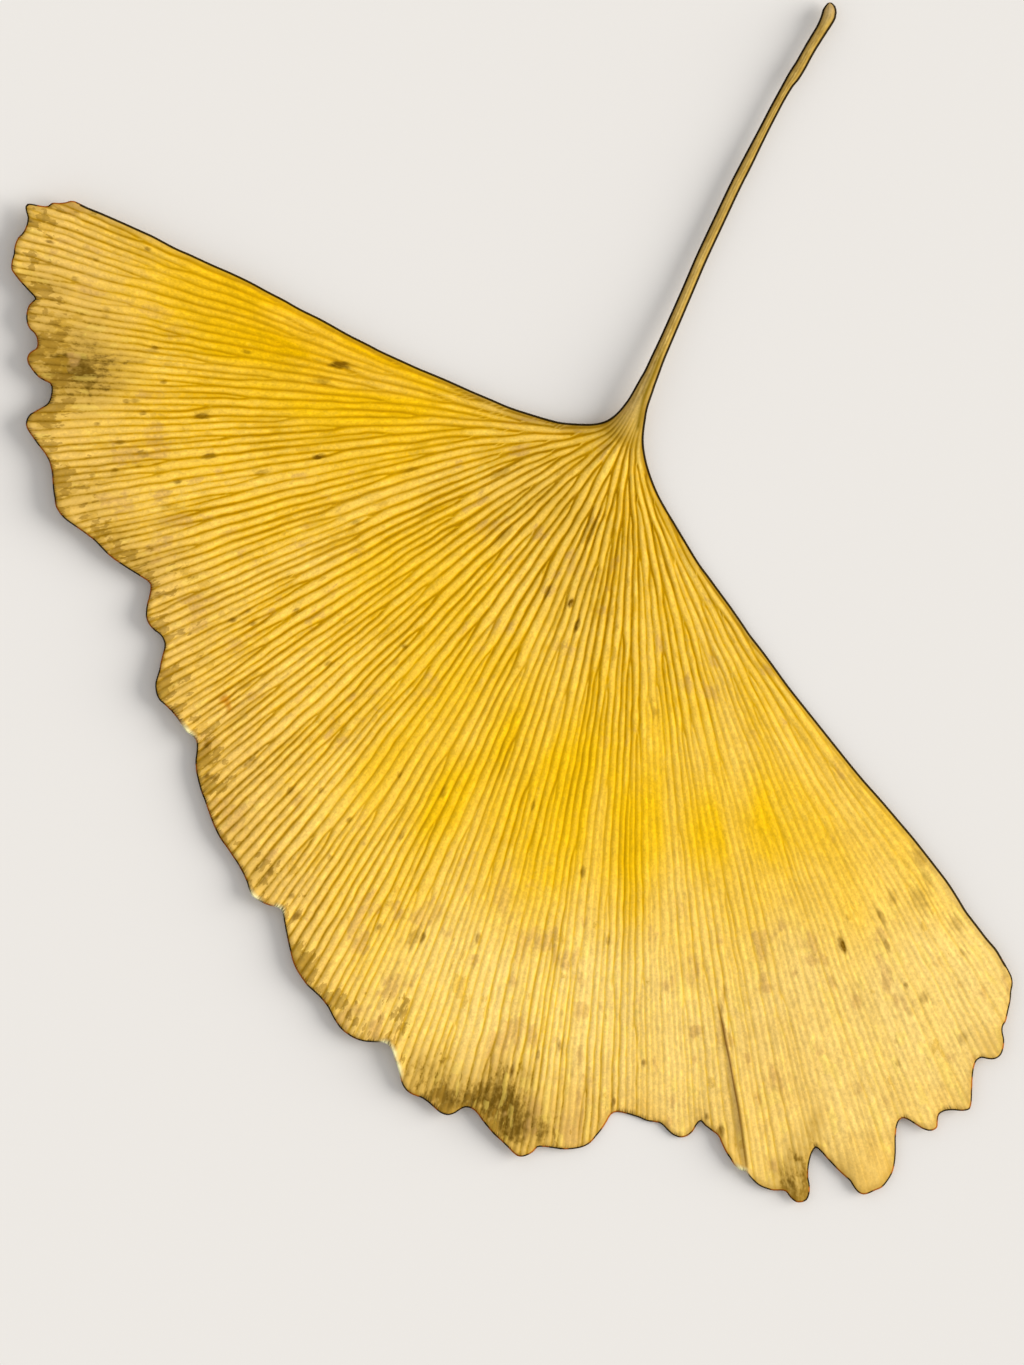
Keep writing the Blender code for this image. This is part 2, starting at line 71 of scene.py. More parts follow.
LEFT_SIDE = [
    (628, 399), (620, 409.5), (613, 416), (608, 419.7), (600, 422.5), (592, 423.7), (584, 423.8),
    (569, 423), (560, 422), (548, 419), (530, 413.6), (510, 407), (490, 398.5), (470, 390),
    (450, 381), (431, 373), (420, 368.5), (400, 359.5), (380, 350.3), (368, 344), (350, 335),
    (330, 323.8), (320, 318.3), (300, 308.5), (285, 300), (270, 292.3), (250, 281.5), (230, 272),
    (216, 266), (200, 258.7), (191, 254.5), (176, 248), (160, 239.5), (154, 236.3), (139, 229.5),
    (120, 221), (100, 212.3), (88, 207.5), (80, 203.6), (75, 201.3),
]
MARGIN = [
    (70.5, 201), (66.5, 202.2), (60, 203.1), (52, 203), (48.5, 205.8), (44, 206.2), (36, 204.8),
    (32, 204), (27.5, 204), (25.7, 206.5), (26, 211), (27.8, 217.5), (27.2, 223), (25, 229.5),
    (22, 234), (18.3, 237.7), (15.4, 244.3), (14.2, 250), (13.8, 254.5), (12.4, 259),
    (11.4, 264.8), (11.7, 270), (14, 273.6), (19, 280.2), (25, 287), (29.5, 292), (33.8, 296.3),
    (35.2, 298.5), (32.6, 301.5), (29.3, 305), (27.2, 310.3), (26.4, 317.5), (27.2, 323.5),
    (30, 329.3), (34.5, 333.7), (36.8, 338), (37.5, 344), (36.4, 348.3), (31.5, 351.3),
    (28.6, 354.3), (27.2, 358.7), (28.2, 363.8), (31.5, 369), (36, 374.8), (40.3, 378.5),
    (45.5, 381.4), (50, 383.6), (51.6, 388), (51.2, 394), (50.2, 398.3), (47.7, 403.3),
    (42.5, 407), (36, 410.7), (30, 414.3), (27, 418.7), (26, 423.7), (26.8, 428), (29.3, 432.5),
    (33, 437.7), (37.4, 444), (41.8, 449.5), (45.5, 454.5), (48.4, 459.7), (50.6, 466.3),
    (52, 473.6), (52.5, 481), (53.2, 489.7), (54.6, 498.5), (55.7, 506), (58.7, 511.7),
    (63, 517.3), (69.7, 522.7), (77.7, 528.2), (86.5, 534.5), (94, 540.3), (101.2, 547.7),
    (108.5, 555), (120.3, 563.8), (130.3, 570.3), (140.5, 576.6), (149, 582.4), (150.5, 586.4),
    (149.3, 595.2), (147, 604), (145.8, 612.8), (146.4, 618.7), (149, 624.5), (154.2, 630.4),
    (160, 634.8), (163.7, 640.7), (164.5, 646.5), (162.6, 654), (160.5, 662.7), (159.3, 669.3),
    (156.8, 677.3), (155.2, 684.7), (156.3, 693.5), (159.3, 700), (165.2, 705.2), (172.5, 712.5),
    (178.4, 720), (182.8, 726.5), (187.2, 732.3), (192.3, 736), (196, 740.4), (196.6, 750),
    (195.4, 760), (195.9, 770), (197.5, 778.5), (201.1, 791.6), (204.5, 800.4), (208.1, 810.7),
    (211.8, 821), (215.5, 829.7), (220.6, 839.3), (226.5, 847.3), (232.3, 856), (238.2, 865),
    (242.6, 873), (246.3, 881), (249.2, 890), (252.1, 895.7), (258, 900), (264, 903.5),
    (271, 906), (278, 907.6), (281.7, 910.5), (283, 915.2), (284.5, 924), (286.7, 935.7),
    (289.6, 949), (292.5, 960.7), (296.2, 969.5), (301.3, 977.5), (307.2, 985.6), (314.5, 992.2),
    (321.9, 999.5), (327.7, 1007), (332.1, 1015.7), (336.5, 1023), (341, 1029), (348.3, 1034.8),
    (355.6, 1039), (364.4, 1041.5), (374.7, 1042.2), (383.5, 1042.6), (388.6, 1045),
    (392.3, 1051), (394.7, 1059), (397.6, 1067), (400, 1077), (402.5, 1085), (406.8, 1091),
    (413.2, 1095), (421.5, 1098), (428, 1102.4), (434, 1107.6), (440, 1112.7), (447.2, 1115.2),
    (453.8, 1113.8), (460.4, 1109.7), (464.8, 1107.5), (471.4, 1108.6), (476.5, 1112.7),
    (482.4, 1120.7), (488.3, 1128), (494.1, 1134.7), (501.5, 1141.3), (507.3, 1147),
    (513.2, 1153), (517.6, 1156.2), (522.7, 1156.8), (529.3, 1154.5), (533.7, 1151.5),
    (537.4, 1147.5), (544, 1147.1), (552.8, 1148.3), (563, 1149.6), (574.8, 1149), (583.6, 1147),
    (590.5, 1143), (595.6, 1137.3), (601.9, 1129.6), (606.8, 1122), (611, 1115), (615.2, 1112.6),
    (620.8, 1112.8), (630.6, 1115.3), (639, 1118), (647.4, 1121.5), (653.7, 1122.2),
    (660.7, 1124), (667, 1130), (672.6, 1135), (679.6, 1137.7), (686.6, 1136.6), (692.9, 1131.7),
    (697.1, 1124.7), (700.6, 1121.5), (704.8, 1125.7), (711.8, 1131), (718.1, 1136),
    (721.6, 1143.6), (725.8, 1152), (730.7, 1159.7), (735, 1166), (741.2, 1170.5),
    (746.1, 1171.6), (748.2, 1175), (753.1, 1180.7), (759.4, 1186), (766.4, 1189),
    (773.4, 1190.8), (780.2, 1190.8), (785.4, 1191.5), (790.6, 1198), (796.2, 1202.3),
    (802.2, 1202.4), (806.7, 1200.3), (809.5, 1194), (809.9, 1185.6), (808.5, 1177.2),
    (808.8, 1167.4), (810.3, 1159), (812.7, 1152), (815.9, 1147.8), (820.4, 1151.3),
    (827.4, 1159), (835.8, 1168), (844.2, 1176), (849.8, 1181), (854, 1187.7), (858.2, 1192.6),
    (863.1, 1194.7), (868, 1194), (875, 1190.8), (882, 1187.7), (887.6, 1181.4), (892.5, 1173),
    (895, 1163.2), (896, 1152), (896, 1138), (897, 1127), (899.5, 1120.5), (903, 1118.4),
    (908, 1120), (915.6, 1124.7), (922.6, 1129), (929, 1131), (933.8, 1130.3), (937.3, 1127.5),
    (938, 1121.2), (939.1, 1115), (944.3, 1111.4), (952, 1110.4), (963.2, 1111), (969.5, 1109.3),
    (971.6, 1103), (972.3, 1089), (973, 1076), (974.4, 1066.7), (977, 1060.5), (981.3, 1058),
    (988, 1059.2), (994.5, 1059.2), (1000.3, 1055.8), (1003.3, 1049.2), (1004.3, 1039.7),
    (1002.8, 1032.3), (1003, 1026.5), (1005.9, 1021.3), (1008.4, 1011), (1010.9, 999.3),
    (1011.4, 992), (1012.8, 984), (1012, 977.3),
]
RIGHT_SIDE = [
    (652.9, 393.3), (650.3, 400.5), (647.9, 408), (645.6, 421.3), (644, 433.3), (643.8, 442.7), (644.8, 452),
    (647.3, 464), (652, 478.7), (658.7, 494.7), (666.7, 509.3), (676, 524.7), (684.7, 539.3),
    (700, 564.2), (708.8, 576), (720.5, 592), (730.8, 606), (744, 625), (750, 634), (763, 650.7),
    (773.3, 664.7), (786.5, 683), (799.7, 700), (813, 716.7), (826, 733), (839.3, 749.7),
    (847.5, 760), (855.2, 769.5), (865.3, 781.5), (881.8, 800), (899.5, 820.8), (913.5, 837.3),
    (923.6, 850), (936.3, 866.3), (949.3, 883.5), (959.5, 899.5), (966.5, 911), (977, 924.8),
    (987.5, 938.5), (996.8, 949.5), (1002.5, 959), (1008.4, 969.3),
]
STALK = [
    (829.6, 3.0, 5), (829.9, 6, 10.5), (829.6, 11.2, 14.6), (828.6, 16, 15.2), (826.4, 21, 14.2),
    (822.6, 28, 12.9), (815.5, 39.5, 12.4), (810.3, 48, 12.2), (805.9, 55.8, 12.2),
    (800.4, 65.8, 12.6), (796.2, 72.5, 12.9), (793, 77.5, 12.6), (789.3, 82.8, 11.2),
    (781.6, 96, 10.3), (773.8, 110.5, 10.4), (765.2, 127.2, 10.4), (756.6, 144, 11),
    (745.9, 165.2, 11.9), (736.5, 183.5, 12), (719, 220.5, 12.2), (701.5, 258, 12.3),
    (688, 289.5, 12.4), (676.5, 316, 12.8), (666, 340, 13.3), (658, 358, 14.2),
    (649.5, 378, 16.4), (643.5, 389.5, 19.5),
]
FOLD = [(720.5, 993), (725.8, 1040), (730, 1059.6), (734.9, 1087.6), (738.4, 1105.8),
        (741.9, 1129.6), (745.4, 1154.8), (747.5, 1171.6)]
FOLD_STEP = 0.42  # mm at the margin
CREASE = [(715.6, 996), (717.6, 1004), (720.2, 1012), (723.2, 1025)] + FOLD[1:]
BRANCH = [(724.6, 988), (723.4, 1000), (721.0, 1013)]


# ---------------------------------------------------------------- helpers
def smooth(t):
    t = np.clip(t, 0, 1)
    return t * t * (3 - 2 * t)


def polar(points):
    """Distance from the fan point, and angle in degrees from the middle of the fan."""
    p = np.asarray(points, float)
    dx, dy = p[..., 0] - FAN[0], FAN[1] - p[..., 1]
    angle = (np.degrees(np.arctan2(dy, dx)) - FAN_AXIS + 180) % 360 - 180
    return np.hypot(dx, dy), angle


def from_polar(rho, angle):
    a = np.radians(np.asarray(angle) + FAN_AXIS)
    return np.stack([FAN[0] + rho * np.cos(a), FAN[1] - rho * np.sin(a)], axis=-1)


def spline(points, step):
    """Points about step apart on a smooth curve (centripetal) through the given ones."""
    p = np.asarray(points, float)
    p = np.vstack([2 * p[0] - p[1], p, 2 * p[-1] - p[-2]])
    out = []
    for a, b, c, d in zip(p[:-3], p[1:-2], p[2:-1], p[3:]):
        t0 = 0.0
        t1 = t0 + max(np.hypot(*(b - a)[:2]), 1e-6) ** 0.5
        t2 = t1 + max(np.hypot(*(c - b)[:2]), 1e-6) ** 0.5
        t3 = t2 + max(np.hypot(*(d - c)[:2]), 1e-6) ** 0.5
        n = max(1, int(round(np.hypot(*(c - b)[:2]) / step)))
        t = (t1 + (t2 - t1) * np.arange(n) / n)[:, None]
        a1 = (t1 - t) / (t1 - t0) * a + (t - t0) / (t1 - t0) * b
        a2 = (t2 - t) / (t2 - t1) * b + (t - t1) / (t2 - t1) * c
        a3 = (t3 - t) / (t3 - t2) * c + (t - t2) / (t3 - t2) * d
        b1 = (t2 - t) / (t2 - t0) * a1 + (t - t0) / (t2 - t0) * a2
        b2 = (t3 - t) / (t3 - t1) * a2 + (t - t1) / (t3 - t1) * a3
        out.append((t2 - t) / (t2 - t1) * b1 + (t - t1) / (t2 - t1) * b2)
    return np.vstack(out + [p[-2][None]])


TABLES = {}


def noise(x, y, seed):
    """Smooth random values from -1 to 1 on a lattice of cell 1."""
    if seed not in TABLES:
        TABLES[seed] = np.random.default_rng(seed).random((256, 256))
    t = TABLES[seed]
    x, y = np.broadcast_arrays(np.asarray(x, float), np.asarray(y, float))
    xi, yi = np.floor(x).astype(int), np.floor(y).astype(int)
    fx, fy = x - xi, y - yi
    fx, fy = fx * fx * (3 - 2 * fx), fy * fy * (3 - 2 * fy)
    a, b = t[xi % 256, yi % 256], t[(xi + 1) % 256, yi % 256]
    c, d = t[xi % 256, (yi + 1) % 256], t[(xi + 1) % 256, (yi + 1) % 256]
    return (a + (b - a) * fx + (c - a) * fy + (a - b - c + d) * fx * fy) * 2 - 1


def fractal(x, y, seed, octaves=3):
    total, size = 0.0, 1.0
    for k in range(octaves):
        total = total + size * noise(x * 2 ** k + 13.7 * k, y * 2 ** k + 5.1 * k, seed + k)
        size *= 0.55
    return total / 1.6


def inside(points, loop):
    """Whether each point is inside the closed loop."""
    p = np.asarray(points, float)
    a, b = np.asarray(loop), np.roll(loop, -1, axis=0)
    found = np.zeros(len(p), bool)
    for start in range(0, len(p), 4000):
        q = p[start:start + 4000]
        x, y = q[:, 0][:, None], q[:, 1][:, None]
        spans = (a[:, 1] > y) != (b[:, 1] > y)
        rise = np.where(np.abs(b[:, 1] - a[:, 1]) < 1e-12, 1e-12, b[:, 1] - a[:, 1])
        cross = a[:, 0] + (y - a[:, 1]) / rise * (b[:, 0] - a[:, 0])
        found[start:start + 4000] = ((spans & (x < cross)).sum(1) % 2).astype(bool)
    return found


def distance_to(points, line):
    """Distance of each point to the open line."""
    p = np.asarray(points, float)
    a, b = np.asarray(line)[:-1], np.asarray(line)[1:]
    run = b - a
    long2 = np.maximum((run ** 2).sum(1), 1e-12)
    out = np.empty(len(p))
    for start in range(0, len(p), 4000):
        q = p[start:start + 4000]
        ax = q[:, 0][:, None] - a[:, 0]
        ay = q[:, 1][:, None] - a[:, 1]
        t = np.clip((ax * run[:, 0] + ay * run[:, 1]) / long2, 0, 1)
        out[start:start + 4000] = np.sqrt(
            ((ax - t * run[:, 0]) ** 2 + (ay - t * run[:, 1]) ** 2).min(1))
    return out


# ---------------------------------------------------------------- form
def lift(x, y):
    """Height in mm of the underside: flat where the leaf rests, then a shallow uneven cup."""
    dx, dy = x - FLAT_CENTRE[0], y - FLAT_CENTRE[1]
    away = np.hypot(dx, dy)
    turn = np.arctan2(-dy, dx)
    s = np.clip((away - FLAT_RADIUS) / 300.0, 0, 3)
    # The left side stands highest, and the stalk lies almost on the surface.
    lean = 0.66 + 0.30 * np.cos(turn - math.radians(205))
    lean = lean * (1 - 0.58 * np.exp(-((turn - math.radians(66)) / math.radians(18)) ** 2))
    lean = lean * (1 - 0.28 * np.exp(-((turn - math.radians(152)) / math.radians(12)) ** 2))
    # The lower right margin lies nearly flat, but for a small curl beside the fold.
    past = np.degrees(turn) + 72
    lean = lean * (1 - 0.88 * np.exp(-(past / np.where(past > 0, 40, 24)) ** 2))
    curl = 0.40 * np.exp(-((x - 716) ** 2 + (y - 1150) ** 2) / 22.0 ** 2)
    wave = (0.13 * np.sin(3 * turn - 1.1) + 0.10 * np.sin(7 * turn + 0.4)
            + 0.08 * np.sin(12 * turn + 2.1))
    neck = 0.90 * np.exp(-((x - 622) ** 2 + (y - 392) ** 2) / 110.0 ** 2) * smooth(s / 0.25)
    return CUP * s ** 1.5 / (1 + s ** 1.5) * lean * (1 + wave * smooth(s / 1.2)) + neck + curl


def fold_parts(x, y):
    """(signed distance across the fold, share of the way along it)."""
    f = np.asarray(FOLD, float)
    along = (y - f[0, 1]) / (f[-1, 1] - f[0, 1])
    return x - np.interp(y, f[:, 1], f[:, 0]), along


def fold_lift(x, y):
    """Height in mm that the fold adds: its right side stands over its left side."""
    off, along = fold_parts(x, y)
    over = np.where(off > 0, np.exp(-np.abs(off) / 46.0), np.exp(-np.abs(off) / 2.0))
    dip = -0.16 * np.exp(-((off + 7) / 7.0) ** 2)
    end = 1 - 0.65 * smooth((y - 1120) / 50.0)
    return FOLD_STEP * np.clip(along, 0, 1) ** 1.2 * (over + dip) * smooth((y - 960) / 90.0) * end


def thickness(rho, share, ratio):
    """Blade thickness in mm: full near the neck, thinner at the margin."""
    body = LAMINA + (MARGIN_LAMINA - LAMINA) * smooth((ratio - 0.75) / 0.25)
    bulge = 1 - (2 * share - 1) ** 2
    return body + 0.62 * bulge * np.exp(-((rho - 20) / 42.0) ** 2)


def round_edge(e, width=2.3):
    """Share of the half thickness reached at a distance from the edge."""
    t = 1 - np.clip(np.asarray(e) / width, 0, 1)
    return np.sqrt(np.clip(1 - t * t, 0, 1))


# ---------------------------------------------------------------- outline
side_left = spline(LEFT_SIDE, 2.3)
side_right = spline(RIGHT_SIDE, 2.3)
margin = spline([LEFT_SIDE[-1]] + MARGIN + [RIGHT_SIDE[-1]], 2.3)


def trimmed(line, radius):
    """The part of a side outside the first arc, starting exactly on the arc."""
    rho, angle = polar(line)
    k = int(np.argmax((rho > radius) & (np.arange(len(rho)) > np.argmin(rho))))
    t = (radius - rho[k - 1]) / (rho[k] - rho[k - 1])
    first = line[k - 1] + t * (line[k] - line[k - 1])
    rest = line[k:]
    if np.hypot(*(rest[0] - first)) < 0.9:
        rest = rest[1:]
    return np.vstack([first[None], rest])


blade_left = trimmed(side_left, FIRST_ARC)
blade_right = trimmed(side_right, FIRST_ARC)
edge_line = np.vstack([blade_left[:-1], margin, blade_right[::-1][1:]])
whole_edge = np.vstack([side_left[:-1], margin, side_right[::-1][1:]])


def side_table(line):
    rho, angle = polar(line)
    order = np.argsort(rho)
    keep = rho[order] > 25
    return rho[order][keep], angle[order][keep]


LEFT, RIGHT = side_table(side_left), side_table(side_right)


def left_of(rho):
    return np.interp(rho, *LEFT)


def right_of(rho):
    return np.interp(rho, *RIGHT)


# ---------------------------------------------------------------- veins
SIG_LEFT, SIG_RIGHT = -78.0, 65.4


def sigma(angle, rho):
    """Vein coordinate: the angle far from the sides, drawn together where veins run along a side."""
    a, b = left_of(rho), right_of(rho)
    w = 6.0 * (1 + 1.5 * np.exp(-(np.maximum(rho, 40) - 40) / 60.0))
    return (angle + (SIG_LEFT - a) * np.exp(-np.clip(angle - a, 0, None) / w)
            + (SIG_RIGHT - b) * np.exp(-np.clip(b - angle, 0, None) / w))


RHO = np.arange(40.0, 781.0, 1.0)
SHARES = np.linspace(0, 1, 241)
ANGLES = left_of(RHO)[:, None] + (right_of(RHO) - left_of(RHO))[:, None] * SHARES
SIGMAS = sigma(ANGLES, RHO[:, None])
SIGMAS = np.maximum.accumulate(SIGMAS, axis=1)


def track(s):
    """Angle of the vein coordinate s at every distance in RHO."""
    return np.array([np.interp(s, SIGMAS[i], ANGLES[i]) for i in range(len(RHO))])


def wanted_gap(s, rho):
    """Distance between veins, in drawing units, where the coordinate is s."""
    gap = VEIN_GAP + 1.3 * np.exp(-((s + 3) / 14.0) ** 2) - 0.9 * smooth((s - 12) / 15)
    return gap * (0.64 + 0.36 * smooth((rho - 50) / 160))


class Veins:
    """Veins that fork in two wherever the space between them allows one more."""

    def __init__(self, seed):
        self.random = np.random.default_rng(seed)
        self.paths, self.strength = [], []
        middle = -6.0
        a, m, b = track(SIG_LEFT + 0.4), track(middle), track(SIG_RIGHT - 0.4)
        self.grow(SIG_LEFT + 0.4, middle, a, m, 0, None)
        self.grow(middle, SIG_RIGHT - 0.4, m, b, 0, None)
        order = np.argsort([p[-1] for p in self.paths])
        self.paths = np.array(self.paths)[order]
        self.strength = np.array(self.strength)[order]
        coordinate = sigma(self.paths, RHO[None, :])
        sway = 1.3 * fractal(np.radians(coordinate) * 9, RHO[None, :] / 46.0, 71, 2)
        sway = sway + 0.6 * noise(np.arange(len(self.paths))[:, None] * 3.3, RHO[None, :] / 13.0, 73)
        self.paths = self.paths + np.degrees(sway / RHO[None, :])
        self.paths = np.maximum.accumulate(self.paths, axis=0)

    def grow(self, low, high, low_track, high_track, start, path):
        middle = (low + high) / 2
        own = track(middle)
        if path is None:
            path = own
        else:
            length = self.random.uniform(20, 55)
            t = smooth((RHO - RHO[start]) / length)
            path = path + (own - path) * t
        width = RHO * np.radians(high_track - low_track)
        limit = wanted_gap(middle, RHO) * self.random.uniform(1.22, 1.62)
        free = start + 6 if start else -1
        wide = np.nonzero((width > limit) & (np.arange(len(RHO)) > free))[0]
        if len(wide) == 0 or RHO[wide[0]] > 740:
            self.paths.append(path)
            self.strength.append(self.random.uniform(0.62 - 0.34 * smooth((middle - 4) / 14), 1.0))
            return
        cut = low + (high - low) * self.random.uniform(0.43, 0.57)
        cut_track = track(cut)
        path = path if wide[0] else None
        self.grow(low, cut, low_track, cut_track, wide[0], path)
        self.grow(cut, high, cut_track, high_track, wide[0], path)

    def row(self, i):
        """At RHO[i]: each vein line's angle, half width, strength and number of its last branch."""
        p = self.paths[:, i]
        gap = np.diff(p) * math.pi / 180 * RHO[i]
        starts = np.concatenate([[0], np.nonzero(gap > 2.3)[0] + 1])
        ends = np.concatenate([starts[1:], [len(p)]]) - 1
        first, last = p[starts], p[ends]
        half = np.radians(last - first) * RHO[i] / 2
        power = np.maximum.reduceat(self.strength, starts)
        return (first + last) / 2, half, power, ends


veins = Veins(20240611)
ROWS = [veins.row(i) for i in range(len(RHO))]


def vein_field(angle, rho):
    """For each point: distance to the nearest vein line, share of the way across its band, width of
    the band, strength of the vein and number of the band."""
    index = np.clip(np.round(rho - RHO[0]).astype(int), 0, len(RHO) - 1)
    far = np.empty(len(rho))
    part, wide, power = np.empty(len(rho)), np.empty(len(rho)), np.empty(len(rho))
    band = np.empty(len(rho), int)
    order = np.argsort(index, kind="stable")
    cuts = np.nonzero(np.diff(index[order]))[0] + 1
    for group in np.split(order, cuts):
        if len(group) == 0:
            continue
        i = index[group[0]]
        centre, half, strong, ends = ROWS[i]
        a, r = angle[group], rho[group]
        lowest, highest = left_of(RHO[i]) - 1.0, right_of(RHO[i]) + 1.0
        lines = np.concatenate([[min(lowest, centre[0] - 1)], centre, [max(highest, centre[-1] + 1)]])
        halves = np.concatenate([[0], half, [0]])
        powers = np.concatenate([[0.15], strong, [0.15]])
        j = np.clip(np.searchsorted(lines, a), 1, len(lines) - 1)
        k = math.pi / 180 * r
        left = np.clip((a - lines[j - 1]) * k - halves[j - 1], 0, None)
        right = np.clip((lines[j] - a) * k - halves[j], 0, None)
        far[group] = np.minimum(left, right)
        part[group] = left / np.maximum(left + right, 1e-6)
        wide[group] = left + right
        power[group] = np.where(left < right, powers[j - 1], powers[j])
        band[group] = np.concatenate([[-1], ends, [len(veins.paths)]])[j - 1] + 1
    return far, part, wide, power, band


def row_points(i, spacing, shoulders=True):
    """Angles of the points of one row, set on the vein lines, beside them and between them."""
    centre, half, _, _ = ROWS[i]
    k = 180 / math.pi / RHO[i]
    lowest, highest = left_of(RHO[i]), right_of(RHO[i])
    out = []
    side = 1.5 if shoulders else 0.0
    marks = [(lowest, 0.0)] + [(c, h) for c, h in zip(centre, half) if lowest < c < highest]
    marks.append((highest, 0.0))
    for (a, ha), (b, hb) in zip(marks[:-1], marks[1:]):
        out.append(a)
        low, high = a + (ha + side) * k, b - (hb + side) * k
        gap = (high - low) / k
        if gap < 0.8:
            out.append((low + high) / 2)
            continue
        n = max(1, int(round(gap / spacing)))
        out.extend(low + (high - low) * np.arange(n + 1) / n if shoulders
                   else low + (high - low) * np.arange(1, n) / n)
    out.append(highest)
    return np.array(out)


# ---------------------------------------------------------------- first arc, neck and stalk
i_arc = int(round(FIRST_ARC - RHO[0]))
arc_left, arc_right = polar(blade_left[0])[1], polar(blade_right[0])[1]
arc_angles = row_points(i_arc, 2.0)
k_arc = 180 / math.pi / FIRST_ARC
arc_angles = arc_angles[(arc_angles > arc_left + 3.0 * k_arc) & (arc_angles < arc_right - 3.0 * k_arc)]
keep = np.concatenate([[True], np.diff(arc_angles) > 0.7 * k_arc])
arc_angles = arc_angles[keep]
arc_angles = np.concatenate([[arc_left, arc_left + 0.7 * k_arc, arc_left + 1.7 * k_arc], arc_angles,
                             [arc_right - 1.7 * k_arc, arc_right - 0.7 * k_arc, arc_right]])
arc = from_polar(FIRST_ARC, arc_angles)
arc[0], arc[-1] = blade_left[0], blade_right[0]
columns = len(arc)
arc_share = (arc_angles - arc_left) / (arc_right - arc_left)


def stalk_and_neck():
    """Rows from the free end to the first arc, as (left, right, bow, blend, width)."""
    line = spline(STALK, 3.4)
    line[:, 2] = np.maximum(line[:, 2], 3.0)
    step = np.gradient(line[:, :2], axis=0)
    step /= np.hypot(step[:, 0], step[:, 1])[:, None]
    across = np.stack([-step[:, 1], step[:, 0]], axis=1)  # points to the left going down
    left = line[:, :2] + across * line[:, 2:3] / 2
    right = line[:, :2] - across * line[:, 2:3] / 2
    if left[len(left) // 2, 0] > right[len(right) // 2, 0]:
        left, right = right, left
    rho_l, rho_r = polar(side_left)[0], polar(side_right)[0]
    neck_left = spline(np.vstack([left[-12:-1:4], side_left[:1], side_left[3:30:4]]), 0.8)
    neck_right = spline(np.vstack([right[-12:-1:4], side_right[:1], side_right[3:30:4]]), 0.8)

    def stretch(path, end):
        start = int(np.argmin(np.hypot(*(path - path_start).T)))
        stop = int(np.argmin(np.hypot(*(path - end).T)))
        part = path[start:stop + 1].copy()
        part[-1] = end
        far = np.concatenate([[0], np.cumsum(np.hypot(*np.diff(part, axis=0).T))])
        t = np.linspace(0, 1, 22)[1:]
        return np.stack([np.interp(t * far[-1], far, part[:, k]) for k in (0, 1)], axis=1)

    last = len(left) - 5
    path_start = left[last]
    l2 = stretch(neck_left, blade_left[0])
    path_start = right[last]
    r2 = stretch(neck_right, blade_right[0])
    rows = [(left[k], right[k], 0.0, 0.0, line[k, 2]) for k in range(last + 1)]
    bow = np.array([math.cos(math.radians(FAN_AXIS)), -math.sin(math.radians(FAN_AXIS))])
    for k, (a, b) in enumerate(zip(l2, r2)):
        t = (k + 1) / len(l2)
        rows.append((a, b, smooth(t) ** 1.2, t, np.hypot(*(b - a))))
    return rows, bow


def loft():
    """Points (row, column) of the stalk and neck, with upper and lower heights in mm."""
    rows, bow = stalk_and_neck()
    cosine = 0.5 - 0.5 * np.cos(np.pi * np.arange(columns) / (columns - 1))
    arc_flat = arc[0] + (arc[-1] - arc[0]) * arc_share[:, None]
    sag = arc - arc_flat
    xy, high, low, share_all, blend_all, width_all = [], [], [], [], [], []
    for a, b, bend, t, width in rows:
        k = smooth(t)
        share = cosine + (arc_share - cosine) * k
        points = a + (b - a) * share[:, None] + sag * bend * (np.hypot(*(b - a)) / np.hypot(*(arc[-1] - arc[0])))
        if t == 1:
            points = arc.copy()
        x, y = points[:, 0], points[:, 1]
        half = 0.5 * min(width, 17.0) * STALK_DEPTH * MM
        ring = np.sqrt(np.clip(1 - (2 * share - 1) ** 2, 0, 1))
        middle = lift(x, y) + 0.47
        rho = np.minimum(polar(points)[0], FIRST_ARC)
        rho = np.where(t < 0.5, 20 + 20 * t, rho)
        edge = np.minimum(share, 1 - share) * width
        deep = thickness(FIRST_ARC if t == 1 else rho, share, 0.1)
        flat_mid = lift(x, y) + deep / 2
        flat_half = deep / 2 * round_edge(edge)
        k2 = smooth(t) ** 1.1
        mid = middle + (flat_mid - middle) * k2
        reach = half * ring + (flat_half - half * ring) * k2
        xy.append(points)
        high.append(mid + reach)
        low.append(mid - reach)
        share_all.append(share)
        blend_all.append(np.full(columns, t))
        width_all.append(np.full(columns, width))
    return [np.array(v) for v in (xy, high, low, share_all, blend_all, width_all)]


# ---------------------------------------------------------------- blade sheets
def inset(line, depth):
    """Points beside the outline, depth inside it, without those that crowd a notch or lobe."""
    step = np.gradient(line, axis=0)
    step /= np.maximum(np.hypot(step[:, 0], step[:, 1]), 1e-9)[:, None]
    normal = np.stack([step[:, 1], -step[:, 0]], axis=1)
    a = line + normal * depth
    trial = a[len(a) // 3:len(a) // 3 + 40]
    if not inside(trial, whole_edge).mean() > 0.5:
        a = line - normal * depth
    ok = inside(a, whole_edge) & (distance_to(a, whole_edge) > 0.93 * depth)
    a = a[ok]
    return a[polar(a)[0] > FIRST_ARC + 1.2]


def stretch_map(points, squeeze):
    rho, angle = polar(points)
    return np.stack([np.radians(angle), np.log(rho) / squeeze], axis=1) * 100


